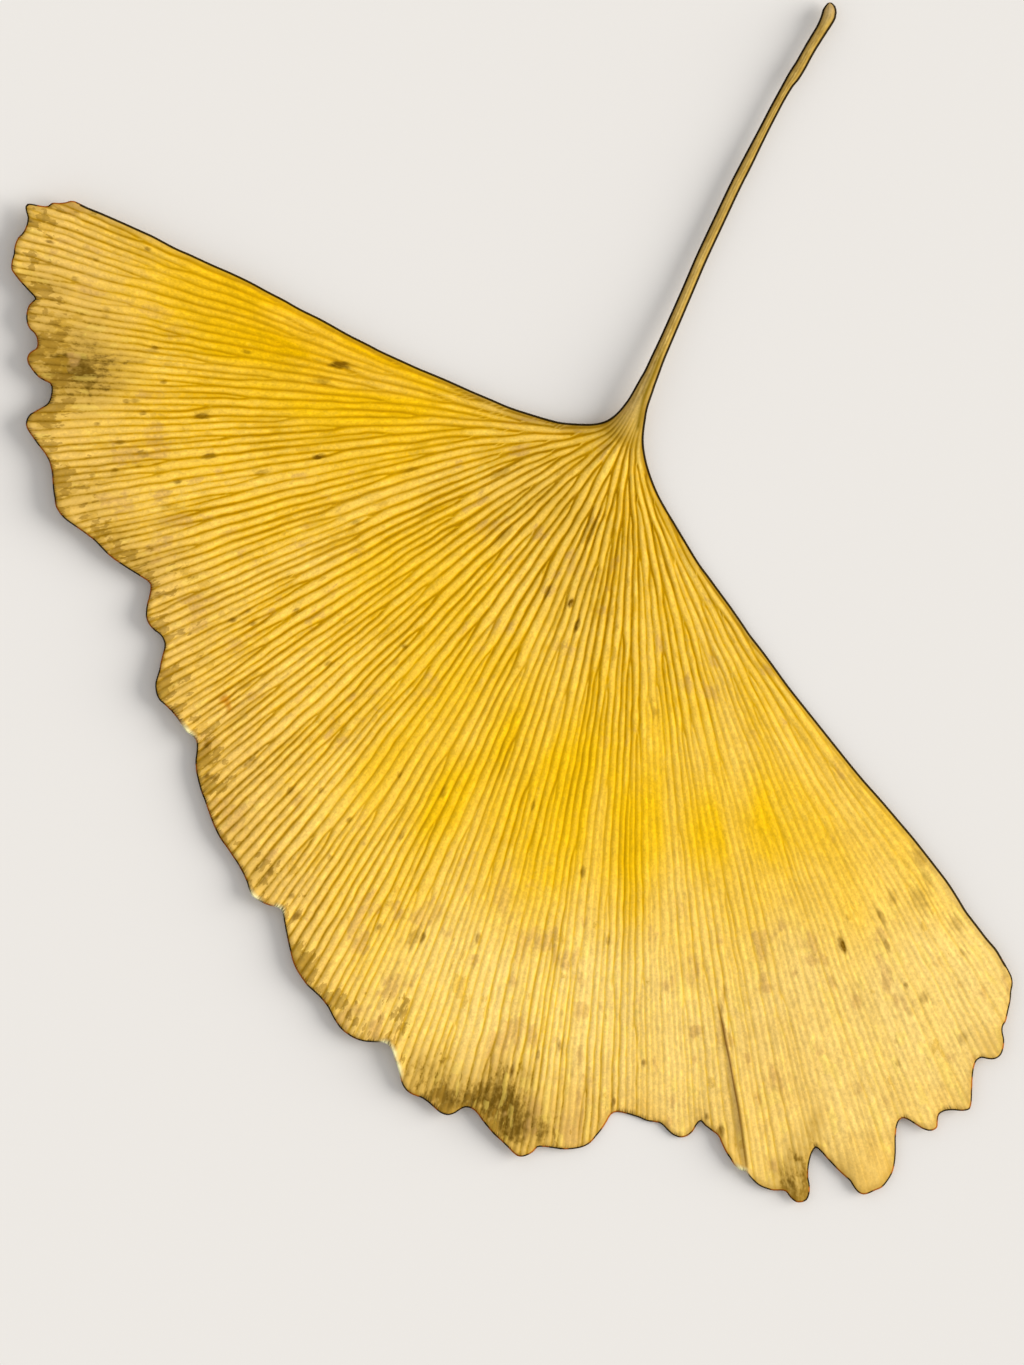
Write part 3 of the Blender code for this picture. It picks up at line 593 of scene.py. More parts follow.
def triangles(loop, inner, squeeze):
    """Triangles over the blade through all the given points. Returns indices into loop + inner."""
    flat = stretch_map(np.vstack([loop, inner]), squeeze)
    n = len(loop)
    edges = [(k, (k + 1) % n) for k in range(n)]
    out = delaunay_2d_cdt([Vector(v) for v in flat], edges, [], 1, 1e-7)
    found = [(o[0] if len(o) else -1) for o in out[3]]
    tris = np.array([[found[v] for v in f] for f in out[2] if len(f) == 3])
    tris = tris[(tris >= 0).all(1)]
    places = np.vstack([loop, inner])
    edge_only = (tris < n + 0).all(1)
    centre = places[tris].mean(1)
    keep = np.ones(len(tris), bool)
    keep[edge_only] = inside(centre[edge_only], loop)
    return tris[keep]


def inner_points(step, spacing, clear, shoulders):
    out = []
    i = i_arc + 3
    while RHO[i] < 770:
        angles = row_points(i, spacing, shoulders)
        out.append(from_polar(RHO[i], angles[1:-1]))
        i += 4 if RHO[i] < 130 else step
        if i >= len(RHO):
            break
    points = np.vstack(out)
    points = points[inside(points, whole_edge)]
    return points[distance_to(points, whole_edge) > clear]


def fold_points():
    line = spline(CREASE, 3.0)[:-1]
    out = [line + [off, 0] for off in (-6.0, -3.6, -1.9, -0.7, 0.5, 2.0)]
    points = np.vstack(out)
    points = points[inside(points, whole_edge)]
    return points[distance_to(points, whole_edge) > 1.2], line


SPOTS = [  # x, y, half length along the veins, half width, darkness
    (340, 365, 10, 3.2, .66), (322, 381, 9, 3, .35), (203, 416, 7, 2.8, .58), (210, 456, 7, 2.8, .62),
    (318, 457, 6, 2.4, .66), (155, 348, 4, 1.8, .6), (143, 413, 3, 2, .5), (126, 401, 3, 2, .55),
    (135, 401, 3, 2, .5), (97, 424, 3, 2, .5), (120, 443, 4, 2, .45), (141, 452, 3, 2, .45),
    (115, 470, 3, 2, .45), (178, 482, 4, 2, .5), (163, 382, 3, 2, .45), (148, 249, 3, 2, .45),
    (50, 242, 4, 1.6, .55), (96, 260, 3, 2, .4), (75, 279, 3, 2, .4), (232.7, 620, 3.6, 2.4, .5),
    (297, 610, 3, 2.4, .45), (328, 664, 4, 2.4, .4), (250, 762, 7, 2.4, .5), (206, 745, 4, 2.4, .6),
    (157, 594, 3, 2, .5), (207, 776, 3, 2, .5), (214, 778, 3, 2, .5), (290, 790, 4, 2.6, .45),
    (321, 790, 3, 2.2, .4), (349, 820, 3.4, 2.4, .45), (216, 818, 3, 2, .45), (330, 858, 3, 2, .4),
    (292, 896, 3, 2.4, .4), (296, 917, 4.5, 2.4, .5), (379, 928, 4, 2.2, .45), (423, 937, 4.5, 2.6, .5),
    (512, 1071, 6, 2, .6), (560, 1046, 5, 1.8, .5), (538, 1055, 4, 1.8, .4), (644, 1063, 3.4, 2, .5),
    (614, 1102, 4.6, 2, .5), (707, 1117, 3, 2.2, .5), (721, 1131, 4.5, 4, .55), (842, 945, 8.5, 3.0, .72),
    (882, 917, 7.5, 2.6, .42), (887, 945, 6, 2.4, .36), (893, 898, 7, 4, .25), (919, 858, 9, 4.4, .30),
    (927, 878, 8, 4, .20), (920, 900, 12, 7, .26), (957, 924, 7, 5, .24), (962, 953, 4, 3, .2),
    (906, 985, 3, 2.2, .42), (924, 998, 5, 3.8, .32), (910, 1012, 4, 3, .22), (963, 1038, 5, 5, .26),
    (898, 1063, 3.2, 2.6, .30), (896, 1042, 3, 2.4, .24), (571, 603, 4.5, 2.6, .8), (577, 625, 6, 2.4, .6),
    (583, 872, 5, 2.4, .5), (608, 940, 4, 2.2, .4), (590, 530, 12, 5, .28), (500, 473, 12, 4, .28),
    (505, 535, 12, 4, .25), (415, 937, 12, 4, .3), (478, 938, 6, 2.4, .5), (547, 592, 6, 2.2, .45),
    (533, 806, 5, 2.2, .35), (444, 792, 5, 2.4, .35), (402, 836, 5, 2.2, .35), (655, 712, 5, 2, .3),
    (356, 522, 5, 2.2, .35), (262, 472, 6, 2.2, .35), (410, 470, 6, 2.2, .3), (247, 352, 5, 2, .4),
    (253, 624, 3.6, 2.2, .45), (405, 647, 2.8, 2.4, .5), (396, 663, 2.6, 2.2, .35),
    (399, 775, 2.6, 2, .3), (248, 611, 2.6, 2, .3),
]


def spot_points():
    """Extra points at the small spots, so that their shape is kept."""
    out = []
    for sx, sy, long, wide_, _ in SPOTS + [(226, 702, 8, 6, 0)]:
        rx, ry = sx - FAN[0], sy - FAN[1]
        far_ = math.hypot(rx, ry)
        rx, ry = rx / far_, ry / far_
        for i, u in enumerate(np.arange(-1.7 * long, 1.7 * long + 0.1, 1.5)):
            v = np.arange(-1.7 * wide_, 1.7 * wide_ + 0.1, 1.15) + 0.5 * (i % 2)
            out.append(np.stack([sx + u * rx - v * ry, sy + u * ry + v * rx], axis=1))
    points = np.vstack(out)
    points = points[inside(points, whole_edge)]
    return points[distance_to(points, whole_edge) > 2.4]


def apart(points, others, gap):
    """The points that lie further than gap from the others and from each other."""
    grid = {}
    for p in others:
        grid.setdefault((int(p[0] // gap), int(p[1] // gap)), []).append(p)
    out = []
    for p in points:
        i, j = int(p[0] // gap), int(p[1] // gap)
        near = [q for a in (-1, 0, 1) for b in (-1, 0, 1) for q in grid.get((i + a, j + b), [])]
        if all((q[0] - p[0]) ** 2 + (q[1] - p[1]) ** 2 > gap * gap for q in near):
            out.append(p)
            grid.setdefault((i, j), []).append(p)
    return np.array(out)


loop = np.vstack([edge_line, arc[::-1][1:-1]])
n_edge = len(edge_line)
folded, fold_line = fold_points()
upper_inner = inner_points(ROW_STEP, 2.1, 2.6, True)
upper_inner = upper_inner[distance_to(upper_inner, np.vstack([fold_line - [5.6, 0]])) > 1.3]
upper_inner = upper_inner[distance_to(upper_inner, fold_line - [3.0, 0]) > 1.9]
upper_inner = upper_inner[distance_to(upper_inner, fold_line + [0.4, 0]) > 2.6]
ring_1, ring_2 = inset(edge_line, 0.7), inset(edge_line, 1.7)
ring_1 = ring_1[distance_to(ring_1, arc) > 0.6]
ring_2 = ring_2[distance_to(ring_2, arc) > 0.9]
near_fold = distance_to(folded, whole_edge) > 2.2
upper_inner = np.vstack([ring_1, ring_2, folded[near_fold], upper_inner])
upper_inner = np.vstack([upper_inner, apart(spot_points(), upper_inner, 0.62)])
lower_inner = inner_points(ROW_STEP * 2, 4.2, 3.2, False)
lower_inner = np.vstack([ring_1[::2], ring_2[::2], folded[near_fold][::2],
                         lower_inner[distance_to(lower_inner, fold_line - [2.0, 0]) > 5.0]])
upper_tris = triangles(loop, upper_inner, 4.0)
lower_tris = triangles(loop, lower_inner, 4.0)

# ---------------------------------------------------------------- all points of the leaf
loft_xy, loft_high, loft_low, loft_share, loft_blend, loft_width = loft()
n_rows = len(loft_xy)

xy, height, upper, loft_k = [], [], [], []


def add(points, z, side, k):
    start = len(xy)
    xy.extend(map(tuple, points))
    height.extend(np.broadcast_to(z, len(points)))
    upper.extend([side] * len(points))
    loft_k.extend(np.broadcast_to(k, len(points)))
    return np.arange(start, start + len(points))


edge_id = add(edge_line, 0.0, 0, 2.0)
upper_id = add(upper_inner, 0.0, 1, 2.0)
lower_id = add(lower_inner, 0.0, -1, 2.0)
loft_top = np.zeros((n_rows, columns), int)
loft_bottom = np.zeros((n_rows, columns), int)
for r in range(n_rows):
    last_row = r == n_rows - 1
    k = loft_blend[r]
    if last_row:
        ends = np.array([edge_id[0], edge_id[-1]])
        k = np.full(columns, 2.0)
    else:
        ends = add(loft_xy[r][[0, -1]], (loft_high[r][[0, -1]] + loft_low[r][[0, -1]]) / 2, 0,
                   k[[0, -1]])
    top = add(loft_xy[r][1:-1], loft_high[r][1:-1], 1, k[1:-1])
    bottom = add(loft_xy[r][1:-1], loft_low[r][1:-1], -1, k[1:-1])
    loft_top[r] = np.concatenate([[ends[0]], top, [ends[1]]])
    loft_bottom[r] = np.concatenate([[ends[0]], bottom, [ends[1]]])
tip_xy = loft_xy[0].mean(0) + (loft_xy[0].mean(0) - loft_xy[1].mean(0)) * 0.25
tip = add(tip_xy[None], (loft_high[0].max() + loft_low[0].min()) / 2, 0, 0.0)[0]

faces = []


def to_ids(tris, inner_ids, row):
    ids = np.concatenate([edge_id, row[::-1][1:-1], inner_ids])
    return ids[tris]


upper_faces = to_ids(upper_tris, upper_id, loft_top[-1])
lower_faces = to_ids(lower_tris, lower_id, loft_bottom[-1])


def strip(ids):
    a, b = ids[:-1, :-1].ravel(), ids[:-1, 1:].ravel()
    c, d = ids[1:, :-1].ravel(), ids[1:, 1:].ravel()
    return np.vstack([np.stack([a, c, b], 1), np.stack([b, c, d], 1)])


cap_upper = np.array([(tip, loft_top[0][k], loft_top[0][k + 1]) for k in range(columns - 1)])
cap_lower = np.array([(tip, loft_bottom[0][k + 1], loft_bottom[0][k]) for k in range(columns - 1)])
xy = np.array(xy, float)
height = np.array(height, float)
upper = np.array(upper)
loft_k = np.array(loft_k, float)


def facing(tris, up):
    """Turns each triangle so that it faces up or down."""
    p = xy[tris]
    area = ((p[:, 1, 0] - p[:, 0, 0]) * (p[:, 2, 1] - p[:, 0, 1])
            - (p[:, 1, 1] - p[:, 0, 1]) * (p[:, 2, 0] - p[:, 0, 0]))
    # y runs down in the drawing, so a negative area here faces up
    turned = (area > 0) == up
    tris = tris.copy()
    tris[turned] = tris[turned][:, ::-1]
    return tris


all_faces = np.vstack([facing(upper_faces, True), facing(lower_faces, False),
                       facing(strip(loft_top), True), facing(strip(loft_bottom), False),
                       facing(cap_upper, True), facing(cap_lower, False)])

# ---------------------------------------------------------------- heights of the blade
x, y = xy[:, 0], xy[:, 1]
rho, angle = polar(xy)
blade = loft_k >= 2
edge = distance_to(xy, whole_edge)
edge[edge_id] = 0
rho_m, angle_m = polar(margin)
order = np.argsort(angle_m)
reach = np.interp(angle, angle_m[order], rho_m[order])
share = np.clip((angle - left_of(rho)) / (right_of(rho) - left_of(rho)), 0, 1)
sig = sigma(angle, rho)
far, part, wide, power, band = vein_field(angle, rho)
near_neck = 1 - smooth((rho - 60) / 150)
line = np.exp(-(far / (1.42 - 0.22 * near_neck)) ** 2)
line_wide = np.exp(-(far / (2.6 - 0.6 * near_neck)) ** 2)
calm = smooth((wide - 2.2) / 3.0)
clear = 1 - 0.30 * smooth((sig - 6) / 22) * smooth((rho - 200) / 200)
clear = clear * (1 - 0.50 * smooth((sig - 28) / 18) * smooth((rho - 260) / 150))
clear = clear * (1 - 0.42 * smooth((x - 740) / 150) * smooth((y - 760) / 120))
clear = clear * (1 - 0.27 * smooth((240 - x) / 120) * smooth((600 - y) / 80))
weight = power * clear * (0.84 + 0.22 * noise(sig * 0.35, rho / 55, 31) + 0.12 * noise(sig * 2.1, rho / 9, 33))
weight = weight * (1 + 0.25 * np.exp(-((x - 535) ** 2 + (y - 520) ** 2) / 120.0 ** 2)
                   - 0.46 * np.exp(-((x - 400) ** 2 + (y - 985) ** 2) / 90.0 ** 2)
                   - 0.25 * np.exp(-((x - 690) ** 2 + (y - 625) ** 2) / 90.0 ** 2)
                   - 0.46 * np.exp(-((x - 500) ** 2 + (y - 905) ** 2) / 75.0 ** 2)
                   - 0.32 * np.exp(-((x - 410) ** 2 + (y - 710) ** 2) / 70.0 ** 2)
                   - 0.18 * np.exp(-((x - 500) ** 2 + (y - 430) ** 2) / 60.0 ** 2)
                   + 0.20 * np.exp(-((x - 290) ** 2 + (y - 540) ** 2) / 80.0 ** 2))
vein = line * weight
crown = (1 - (2 * part - 1) ** 2) * calm

deep = thickness(rho, share, rho / np.maximum(reach, 1))
body = lift(x, y) + fold_lift(x, y)
fade = smooth(edge / 5.0)
away = np.hypot(x - FLAT_CENTRE[0], y - FLAT_CENTRE[1])
loose = smooth((away - FLAT_RADIUS + 20) / 150)
ripple = (0.085 * fractal(x / 62, y / 62, 11, 3) + 0.05 * noise(sig / 5.5, rho / 210, 14)) * loose
ripple = ripple + 0.10 * loose * smooth(1 - edge / 60) * noise(sig / 3.1, rho / 90, 17)
lips = 0.0
for lx, ly in ((187, 731), (254, 897), (281, 909), (386, 1044), (396, 1062), (741, 1169)):
    lips = lips + 0.30 * np.exp(-((x - lx) ** 2 + (y - ly) ** 2) / 13.0 ** 2) * smooth(1 - edge / 9)
body = np.maximum(body + ripple + lips, 0)
relief = fade * (-GROOVE * vein * 1.15 + 0.030 * crown + 0.007 * fractal(x / 3.4, y / 3.4, 19, 2)
                 + 0.012 * noise(band * 7.3, rho / 15, 23) * crown)
under = fade * (UNDER_GROOVE * vein + 0.012 * crown)
half_edge = round_edge(edge)
z_up = body + deep * (0.5 + 0.5 * half_edge) + relief
z_down = body + deep * (0.5 - 0.5 * half_edge) + under
z_mid = body + deep * 0.5
arc_k = np.zeros(len(xy))
z = np.where(upper > 0, z_up, np.where(upper < 0, z_down, z_mid))
z = np.where(blade, z, height)

# Lines along the neck and stalk carry on from the veins at the first arc.
arc_far, _, arc_wide, arc_power, _ = vein_field(arc_angles, np.full(columns, FIRST_ARC))
arc_vein = np.exp(-(arc_far / 1.45) ** 2) * arc_power
column_of = np.full(len(xy), -1)
for r in range(n_rows - 1):
    column_of[loft_top[r]] = np.arange(columns)
    column_of[loft_bottom[r]] = np.arange(columns)
in_loft = (column_of >= 0) & ~blade
row_width = np.zeros(len(xy))
for r in range(n_rows - 1):
    row_width[loft_top[r]] = loft_width[r][0]
    row_width[loft_bottom[r]] = loft_width[r][0]
kept = smooth((row_width - 17) / 32)
loft_line = np.where(in_loft, arc_vein[column_of] * kept, 0.0)
loft_edge = np.zeros(len(xy))
loft_part = np.zeros(len(xy))
for r in range(n_rows - 1):
    for ids in (loft_top[r], loft_bottom[r]):
        loft_edge[ids] = np.minimum(loft_share[r], 1 - loft_share[r]) * loft_width[r]
        loft_part[ids] = loft_share[r]
stria = (np.sin(loft_part * 31 + 0.8 * noise(y / 70, 0.5, 41)) * 0.5
         + 0.5 * noise(loft_part * 9, y / 38, 43))
stalkness = np.where(in_loft, 1 - smooth((loft_k - 0.15) / 0.85), 0.0)
stalkness[tip] = 1.0
side_sign = np.where(upper > 0, 1.0, np.where(upper < 0, -1.0, 0.0))
z = z + np.where(in_loft, side_sign * (-GROOVE * loft_line + 0.018 * stria * stalkness), 0.0)
vein = np.where(in_loft, np.maximum(loft_line, 0), vein)
edge = np.where(in_loft, loft_edge, edge)
edge[tip] = 3.0

# ---------------------------------------------------------------- colour masks
def fan_noise(cell, length, seed):
    """Streaks along the veins: cell across them and length along them, in drawing units."""
    level = np.log2(np.maximum(rho, 30) / 60.0)
    base = np.floor(level)
    f = smooth(level - base)
    total = 0.0
    for j, w in ((base, 1 - f), (base + 1, f)):
        total = total + w * noise(np.radians(sig) * 60 * 2 ** j / cell + 37.7 * j,
                                  rho / length + 11.3 * j, seed)
    return total / np.sqrt((1 - f) ** 2 + f ** 2)


def blob(cx, cy, rx, ry, turn=0.0):
    c, s = math.cos(math.radians(turn)), math.sin(math.radians(turn))
    dx, dy = x - cx, y - cy
    u, v = (dx * c - dy * s) / rx, (dx * s + dy * c) / ry
    return np.exp(-(u * u + v * v))


def band_noise(length, seed):
    return noise(band * 5.37 + 0.5, rho / length, seed)


margin_gap = np.maximum(reach - rho, 0)
streaks = fan_noise(5.0, 12, 62)
gold = (1.25 * blob(300, 335, 150, 95, -22) + 0.75 * blob(400, 390, 140, 60, -20)
        + 0.45 * blob(700, 835, 110, 42)
        + 0.5 * blob(410, 560, 110, 100) + 0.82 * blob(560, 785, 150, 85) + 1.0 * blob(405, 795, 80, 50)
        + 0.70 * blob(490, 700, 80, 60) + 0.15 * blob(650, 720, 70, 60) + 0.35 * blob(600, 865, 80, 40)
        + 0.40 * blob(200, 290, 70, 40) + 0.40 * blob(500, 900, 70, 40)
        + 0.35 * blob(720, 790, 110, 100) + 0.25 * blob(850, 840, 90, 70) - 0.6 * blob(500, 460, 110, 70))
gold = np.clip(gold + 0.16 * fan_noise(26, 120, 51) + 0.2 * fractal(x / 40, y / 40, 52), 0, 1)
pale = smooth((y + 0.6 * np.clip(x - 840, 0, 200) - 0.1 * np.clip(500 - x, 0, 200)
               + 40 * fractal(x / 70, y / 70, 58) - 848) / 200)
pale = pale * (1 - 0.4 * smooth((520 - x) / 120)) + 0.5 * blob(320, 850, 110, 100)
pale = np.clip(pale + 0.28 * fan_noise(22, 110, 53) - 0.18 * blob(405, 795, 65, 45), 0, 1)
amber = np.clip(1.1 * blob(300, 334, 140, 48, -25) + 0.2 * fan_noise(20, 90, 59) - 0.08, 0, 1)
leftness = smooth((900 - x - 0.15 * y) / 380)
tan = smooth((150 - margin_gap) / 150) * smooth((960 - x - 0.15 * y) / 360)
tan = tan * (0.80 + 0.40 * fractal(x / 55, y / 55, 54))
tan = tan + 0.8 * smooth((34 - margin_gap) / 34) * (0.55 + 0.6 * noise(sig / 2.2, 0.3, 55))
tan = tan - 0.75 * blob(410, 960, 80, 90) + 0.6 * blob(235, 775, 45, 60) + 0.9 * blob(578, 1120, 72, 30)
tan = tan + 1.2 * blob(872, 1165, 32, 34) + 0.62 * blob(780, 1085, 60, 90) + 0.35 * blob(930, 1095, 50, 28)
tan = tan + 0.15 * blob(300, 760, 60, 90) + 0.18 * blob(320, 920, 50, 50)
tan = np.clip(tan + 0.30 * blob(90, 270, 90, 60) + 0.3 * blob(985, 1035, 24, 24), 0, 1)
olive = (0.95 * blob(68, 360, 50, 40, -20) + 0.6 * blob(95, 372, 40, 18) + 0.55 * blob(45, 285, 22, 14)
         + 1.1 * blob(512, 1116, 30, 36) + 1.6 * blob(513, 1124, 13, 15) + 0.60 * blob(500, 1085, 24, 32) + 1.2 * blob(444, 1100, 26, 14)
         + 0.7 * blob(478, 1100, 24, 18) + 0.5 * blob(545, 1132, 20, 16) + 0.4 * blob(425, 1070, 30, 24)
         + 1.6 * blob(797, 1182, 19, 26) + 1.0 * blob(802, 1188, 9, 12) + 0.55 * blob(868, 1172, 26, 22) + 0.45 * blob(806, 1140, 12, 22) + 0.55 * blob(258, 878, 18, 18) + 0.55 * blob(140, 572, 22, 16)
         + 0.30 * blob(120, 540, 60, 22, -30) + 0.45 * blob(816, 1128, 8, 24) + 0.45 * blob(415, 1074, 30, 20)
         + 0.30 * blob(172, 690, 24, 16) + 0.35 * blob(236, 838, 14, 24) + 0.40 * blob(300, 960, 16, 24)
         + 0.4 * blob(732, 1146, 18, 30) + 0.25 * blob(990, 1045, 20, 16) + 0.35 * blob(340, 1018, 18, 16)
         + 0.25 * blob(578, 590, 40, 60) + 0.25 * blob(540, 500, 60, 40)
         + 0.20 * blob(460, 1095, 75, 30) + 0.26 * blob(562, 1126, 45, 22) + 0.35 * blob(796, 1180, 12, 22)
         + 0.30 * blob(62, 350, 60, 75) + 0.08 * blob(785, 1160, 40, 30)
         + 0.4 * blob(70, 500, 24, 20) + 0.3 * blob(40, 430, 16, 14) + 0.4 * blob(205, 770, 12, 30))
olive = np.clip(olive * (0.95 + 0.25 * fan_noise(7, 26, 56) + 0.15 * streaks), 0, 1.6)

# Dull flecks that fill short lengths of the bands, in clusters, and softer greyish patches.
cluster = 0.65 * fan_noise(19, 34, 101) + 0.45 * fractal(x / 23, y / 23, 102)
near_margin = smooth((72 - margin_gap) / 66)
bias = (-0.36 + 0.30 * near_margin * leftness + 0.12 * leftness - 0.14 * gold + 0.10 * smooth((150 - rho) / 90)
        - 0.16 * smooth((y - 700) / 200))
fleck = smooth((cluster + 0.50 * band_noise(9, 61) + 0.30 * streaks + bias - 0.22) / 0.42)
bright = smooth((0.5 * band_noise(19, 64) + 0.5 * fan_noise(6.0, 16, 65) - 0.22) / 0.35)
lower = smooth((y - 820) / 160) * smooth((860 - x) / 120)
PATCHES = [  # x, y, half length along the veins, half width, strength of the soft dull patches
    (550, 940, 14, 12, .9), (694, 970, 14, 11, .8), (670, 986, 12, 14, .7), (718, 940, 12, 7, .6),
    (766, 988, 10, 15, .7), (582, 1048, 7, 6, .6), (578, 980, 12, 8, .5), (812, 943, 11, 11, .9),
    (763, 980, 12, 12, .6), (787, 900, 7, 6, .5), (814, 1045, 12, 9, .6), (859, 1090, 14, 11, .6),
    (776, 1079, 18, 9, .7), (976, 993, 10, 10, .6), (682, 908, 14, 10, .5), (900, 1000, 16, 12, .5),
    (640, 1010, 16, 12, .45), (152, 312, 26, 9, .8), (92, 288, 24, 8, .8), (178, 328, 24, 9, .6),
    (300, 476, 14, 7, .7), (164, 496, 16, 7, .8), (180, 520, 20, 8, .8), (152, 548, 18, 8, .6),
    (228, 532, 14, 6, .7), (300, 545, 16, 7, .6), (530, 420, 34, 8, .6), (470, 397, 30, 5, .6),
    (519, 451, 12, 7, .8), (538, 535, 14, 9, .7), (572, 561, 16, 11, .7), (553, 590, 12, 9, .6),
    (629, 542, 16, 8, .5), (663, 645, 14, 9, .6), (686, 683, 14, 12, .7), (712, 692, 12, 10, .7),
    (716, 662, 12, 10, .6), (750, 740, 14, 12, .5), (496, 626, 16, 9, .7), (462, 626, 14, 8, .5),
    (485, 687, 14, 8, .6), (240, 645, 18, 10, .6), (300, 700, 20, 9, .5), (250, 700, 18, 10, .6),
    (360, 820, 16, 10, .7), (300, 800, 16, 9, .6), (370, 690, 16, 8, .5), (340, 930, 16, 9, .5),
    (470, 860, 14, 8, .6), (575, 825, 14, 8, .6), (640, 790, 14, 9, .5),
    (880, 930, 14, 12, .5), (940, 960, 12, 12, .5), (860, 1000, 14, 12, .5), (520, 1000, 14, 10, .4),
]
patches = np.zeros(len(x))
for sx, sy, long, wide_, strength in PATCHES:
    rx, ry = sx - FAN[0], sy - FAN[1]
    far_ = math.hypot(rx, ry)
    rx, ry = rx / far_, ry / far_
    u, v = (x - sx) * rx + (y - sy) * ry, -(x - sx) * ry + (y - sy) * rx
    patches = np.maximum(patches, strength * np.exp(-(u / long) ** 2 - (v / wide_) ** 2))
pink = smooth((0.75 * fractal(x / 24, y / 24, 67) + 0.5 * fan_noise(15, 32, 68)
               + 0.08 * leftness + 0.14 * lower - 0.25 * gold - 0.30) / 0.40)
pink = np.maximum(0.62 * pink, patches)
grime = near_margin * leftness * smooth((0.5 * streaks + 0.5 * band_noise(7, 69) + 0.55 * cluster
                                         + 0.5 * near_margin - 0.46) / 0.4)

spot = np.zeros(len(x))
to_fan_x, to_fan_y = x - FAN[0], y - FAN[1]
for sx, sy, long, wide_, dark in SPOTS:
    rx, ry = sx - FAN[0], sy - FAN[1]
    far_ = math.hypot(rx, ry)
    rx, ry = rx / far_, ry / far_
    near = np.abs(x - sx) + np.abs(y - sy) < 60
    dx, dy = x[near] - sx, y[near] - sy
    u, v = dx * rx + dy * ry, -dx * ry + dy * rx
    ragged = 1 + 0.26 * noise(x[near] / 3.1, y[near] / 3.1, 77)
    q = np.sqrt((u / long) ** 2 + (v / wide_) ** 2) * ragged
    spot[near] = np.maximum(spot[near], min(1.25 * dark, 1) * smooth((1.45 - q) / 0.8))
ember = np.clip(1.6 * blob(224.5, 699, 4, 3.4, 20) + 1.3 * blob(228, 705, 2.4, 5.5, 20), 0, 1)

speck = smooth((fan_noise(4.0, 9, 81) + 0.7 * fan_noise(24, 60, 82) + 0.08 * leftness - 1.18) / 0.25)
speck = speck * smooth((190 - margin_gap) / 110 + 0.25)
spot = np.clip(np.maximum(spot, 0.35 * speck), 0, 1)

off, along = fold_parts(x, y)
crease = np.asarray(CREASE, float)
off = x - np.interp(y, crease[:, 1], crease[:, 0])
# The fold as colour: a brown line along the crease that is mostly painted shadow of the right side standing over
# the left, painted shade in a soft band to its left, and the short branch at its top.
fold_crease_shadow = np.exp(-((off + 0.3) / np.where(off > -0.3, 1.1, 1.4)) ** 2) * smooth((y - 995) / 14) * (along < 1.05)
fold_crease_shadow = fold_crease_shadow * (0.6 + 0.4 * smooth((y - 1008) / 20)) * (1 - 0.30 * smooth((along - 0.55) / 0.3))
fold_side_shade = np.exp(-((off + 4) / 4.5) ** 2) * smooth((y - 1000) / 80) * 0.22 * (along < 1.05)
fold_branch = 0.55 * np.exp(-(distance_to(xy, BRANCH) / 1.3) ** 2)
fold_line_and_shade = np.clip(np.maximum(np.maximum(fold_crease_shadow, fold_side_shade), fold_branch) * blade, 0, 1)

straight = np.minimum(angle - left_of(rho), right_of(rho) - angle) * math.pi / 180 * rho
on_side = smooth((14 - straight) / 8) * (margin_gap > 12)
rim_tone = 0.5 + 0.5 * noise(x / 6.5 + 3, y / 6.5, 91) + 0.15 * noise(x / 30, y / 30, 92)
rim_tone = np.where(blade, rim_tone * (1 - on_side), 0.0)
edge = np.where(edge > 0, edge - 0.80 * np.where(blade, on_side, 0.9) * smooth(edge / 1.2), edge)
left_gap = np.where(in_loft, loft_part * row_width, (angle - left_of(rho)) * math.pi / 180 * rho)
neck_tan = smooth((8.5 - left_gap) / 4) * smooth((x - 470) / 90) * smooth((y - 385) / 20) * 0.75
neck_tan = np.maximum(neck_tan, 0.85 * np.maximum(smooth((66 - rho) / 40), in_loft * smooth((404 - y) / 26)))
neck_tan = np.maximum(neck_tan, 0.6 * smooth((14 - left_gap) / 8) * smooth((x - 400) / 120))
NECK_GROOVE = [(664, 346), (656.6, 367.6), (651, 381), (645.6, 394), (642.2, 406), (640, 416), (638, 428)]
neck_dark = 0.95 * np.exp(-(distance_to(xy, NECK_GROOVE) / 2.5) ** 2) * smooth((y - 340) / 22)
neck_dark = np.maximum(neck_dark, 0.80 * blob(642.5, 415, 4.4, 15, -8)) + 0.35 * blob(640, 445, 9, 18)
neck_dark = np.clip(neck_dark * (upper >= 0), 0, 1)
neck_tan = np.clip(neck_tan * (upper >= 0), 0, 1)
stalk_end = smooth((26 - y) / 20) * in_loft
# Painted highlights at the notches, where the margin curls up and catches the light.
painted_lip_highlight = np.zeros(len(x))
for lx, ly, r in ((187, 731, 9), (254, 897, 7), (280, 908, 6), (386, 1044, 6), (392, 1053, 9),
                  (398, 1068, 9), (741, 1170, 7)):
    painted_lip_highlight = np.maximum(painted_lip_highlight, np.exp(-((x - lx) ** 2 + (y - ly) ** 2) / r ** 2))
# Drawing coordinates along and across the veins, for the fine marks in the material.
across_veins = np.radians(sig) * 60
along_veins = rho.copy()
arc_across = np.radians(sigma(arc_angles, np.full(columns, FIRST_ARC))) * 60
row_middle = loft_xy.mean(1)
row_far = np.concatenate([[0], np.cumsum(np.hypot(*np.diff(row_middle, axis=0).T))])
for r in range(n_rows - 1):
    for ids in (loft_top[r], loft_bottom[r]):
        narrow = loft_width[r][0] / np.hypot(*(arc[-1] - arc[0]))
        across_veins[ids] = arc_across * min(narrow, 1.0)
        along_veins[ids] = FIRST_ARC - (row_far[-1] - row_far[r])
across_veins[tip], along_veins[tip] = 0.0, FIRST_ARC - row_far[-1] - 2
vein_level = np.where(in_loft, 0.0, np.clip(np.log2(np.maximum(rho, 30) / 60.0), 0, 3))
vein_level[tip] = 0.0
under_mask = np.where(upper < 0, 1.0, 0.0)
under_mask[edge_id] = 0.5

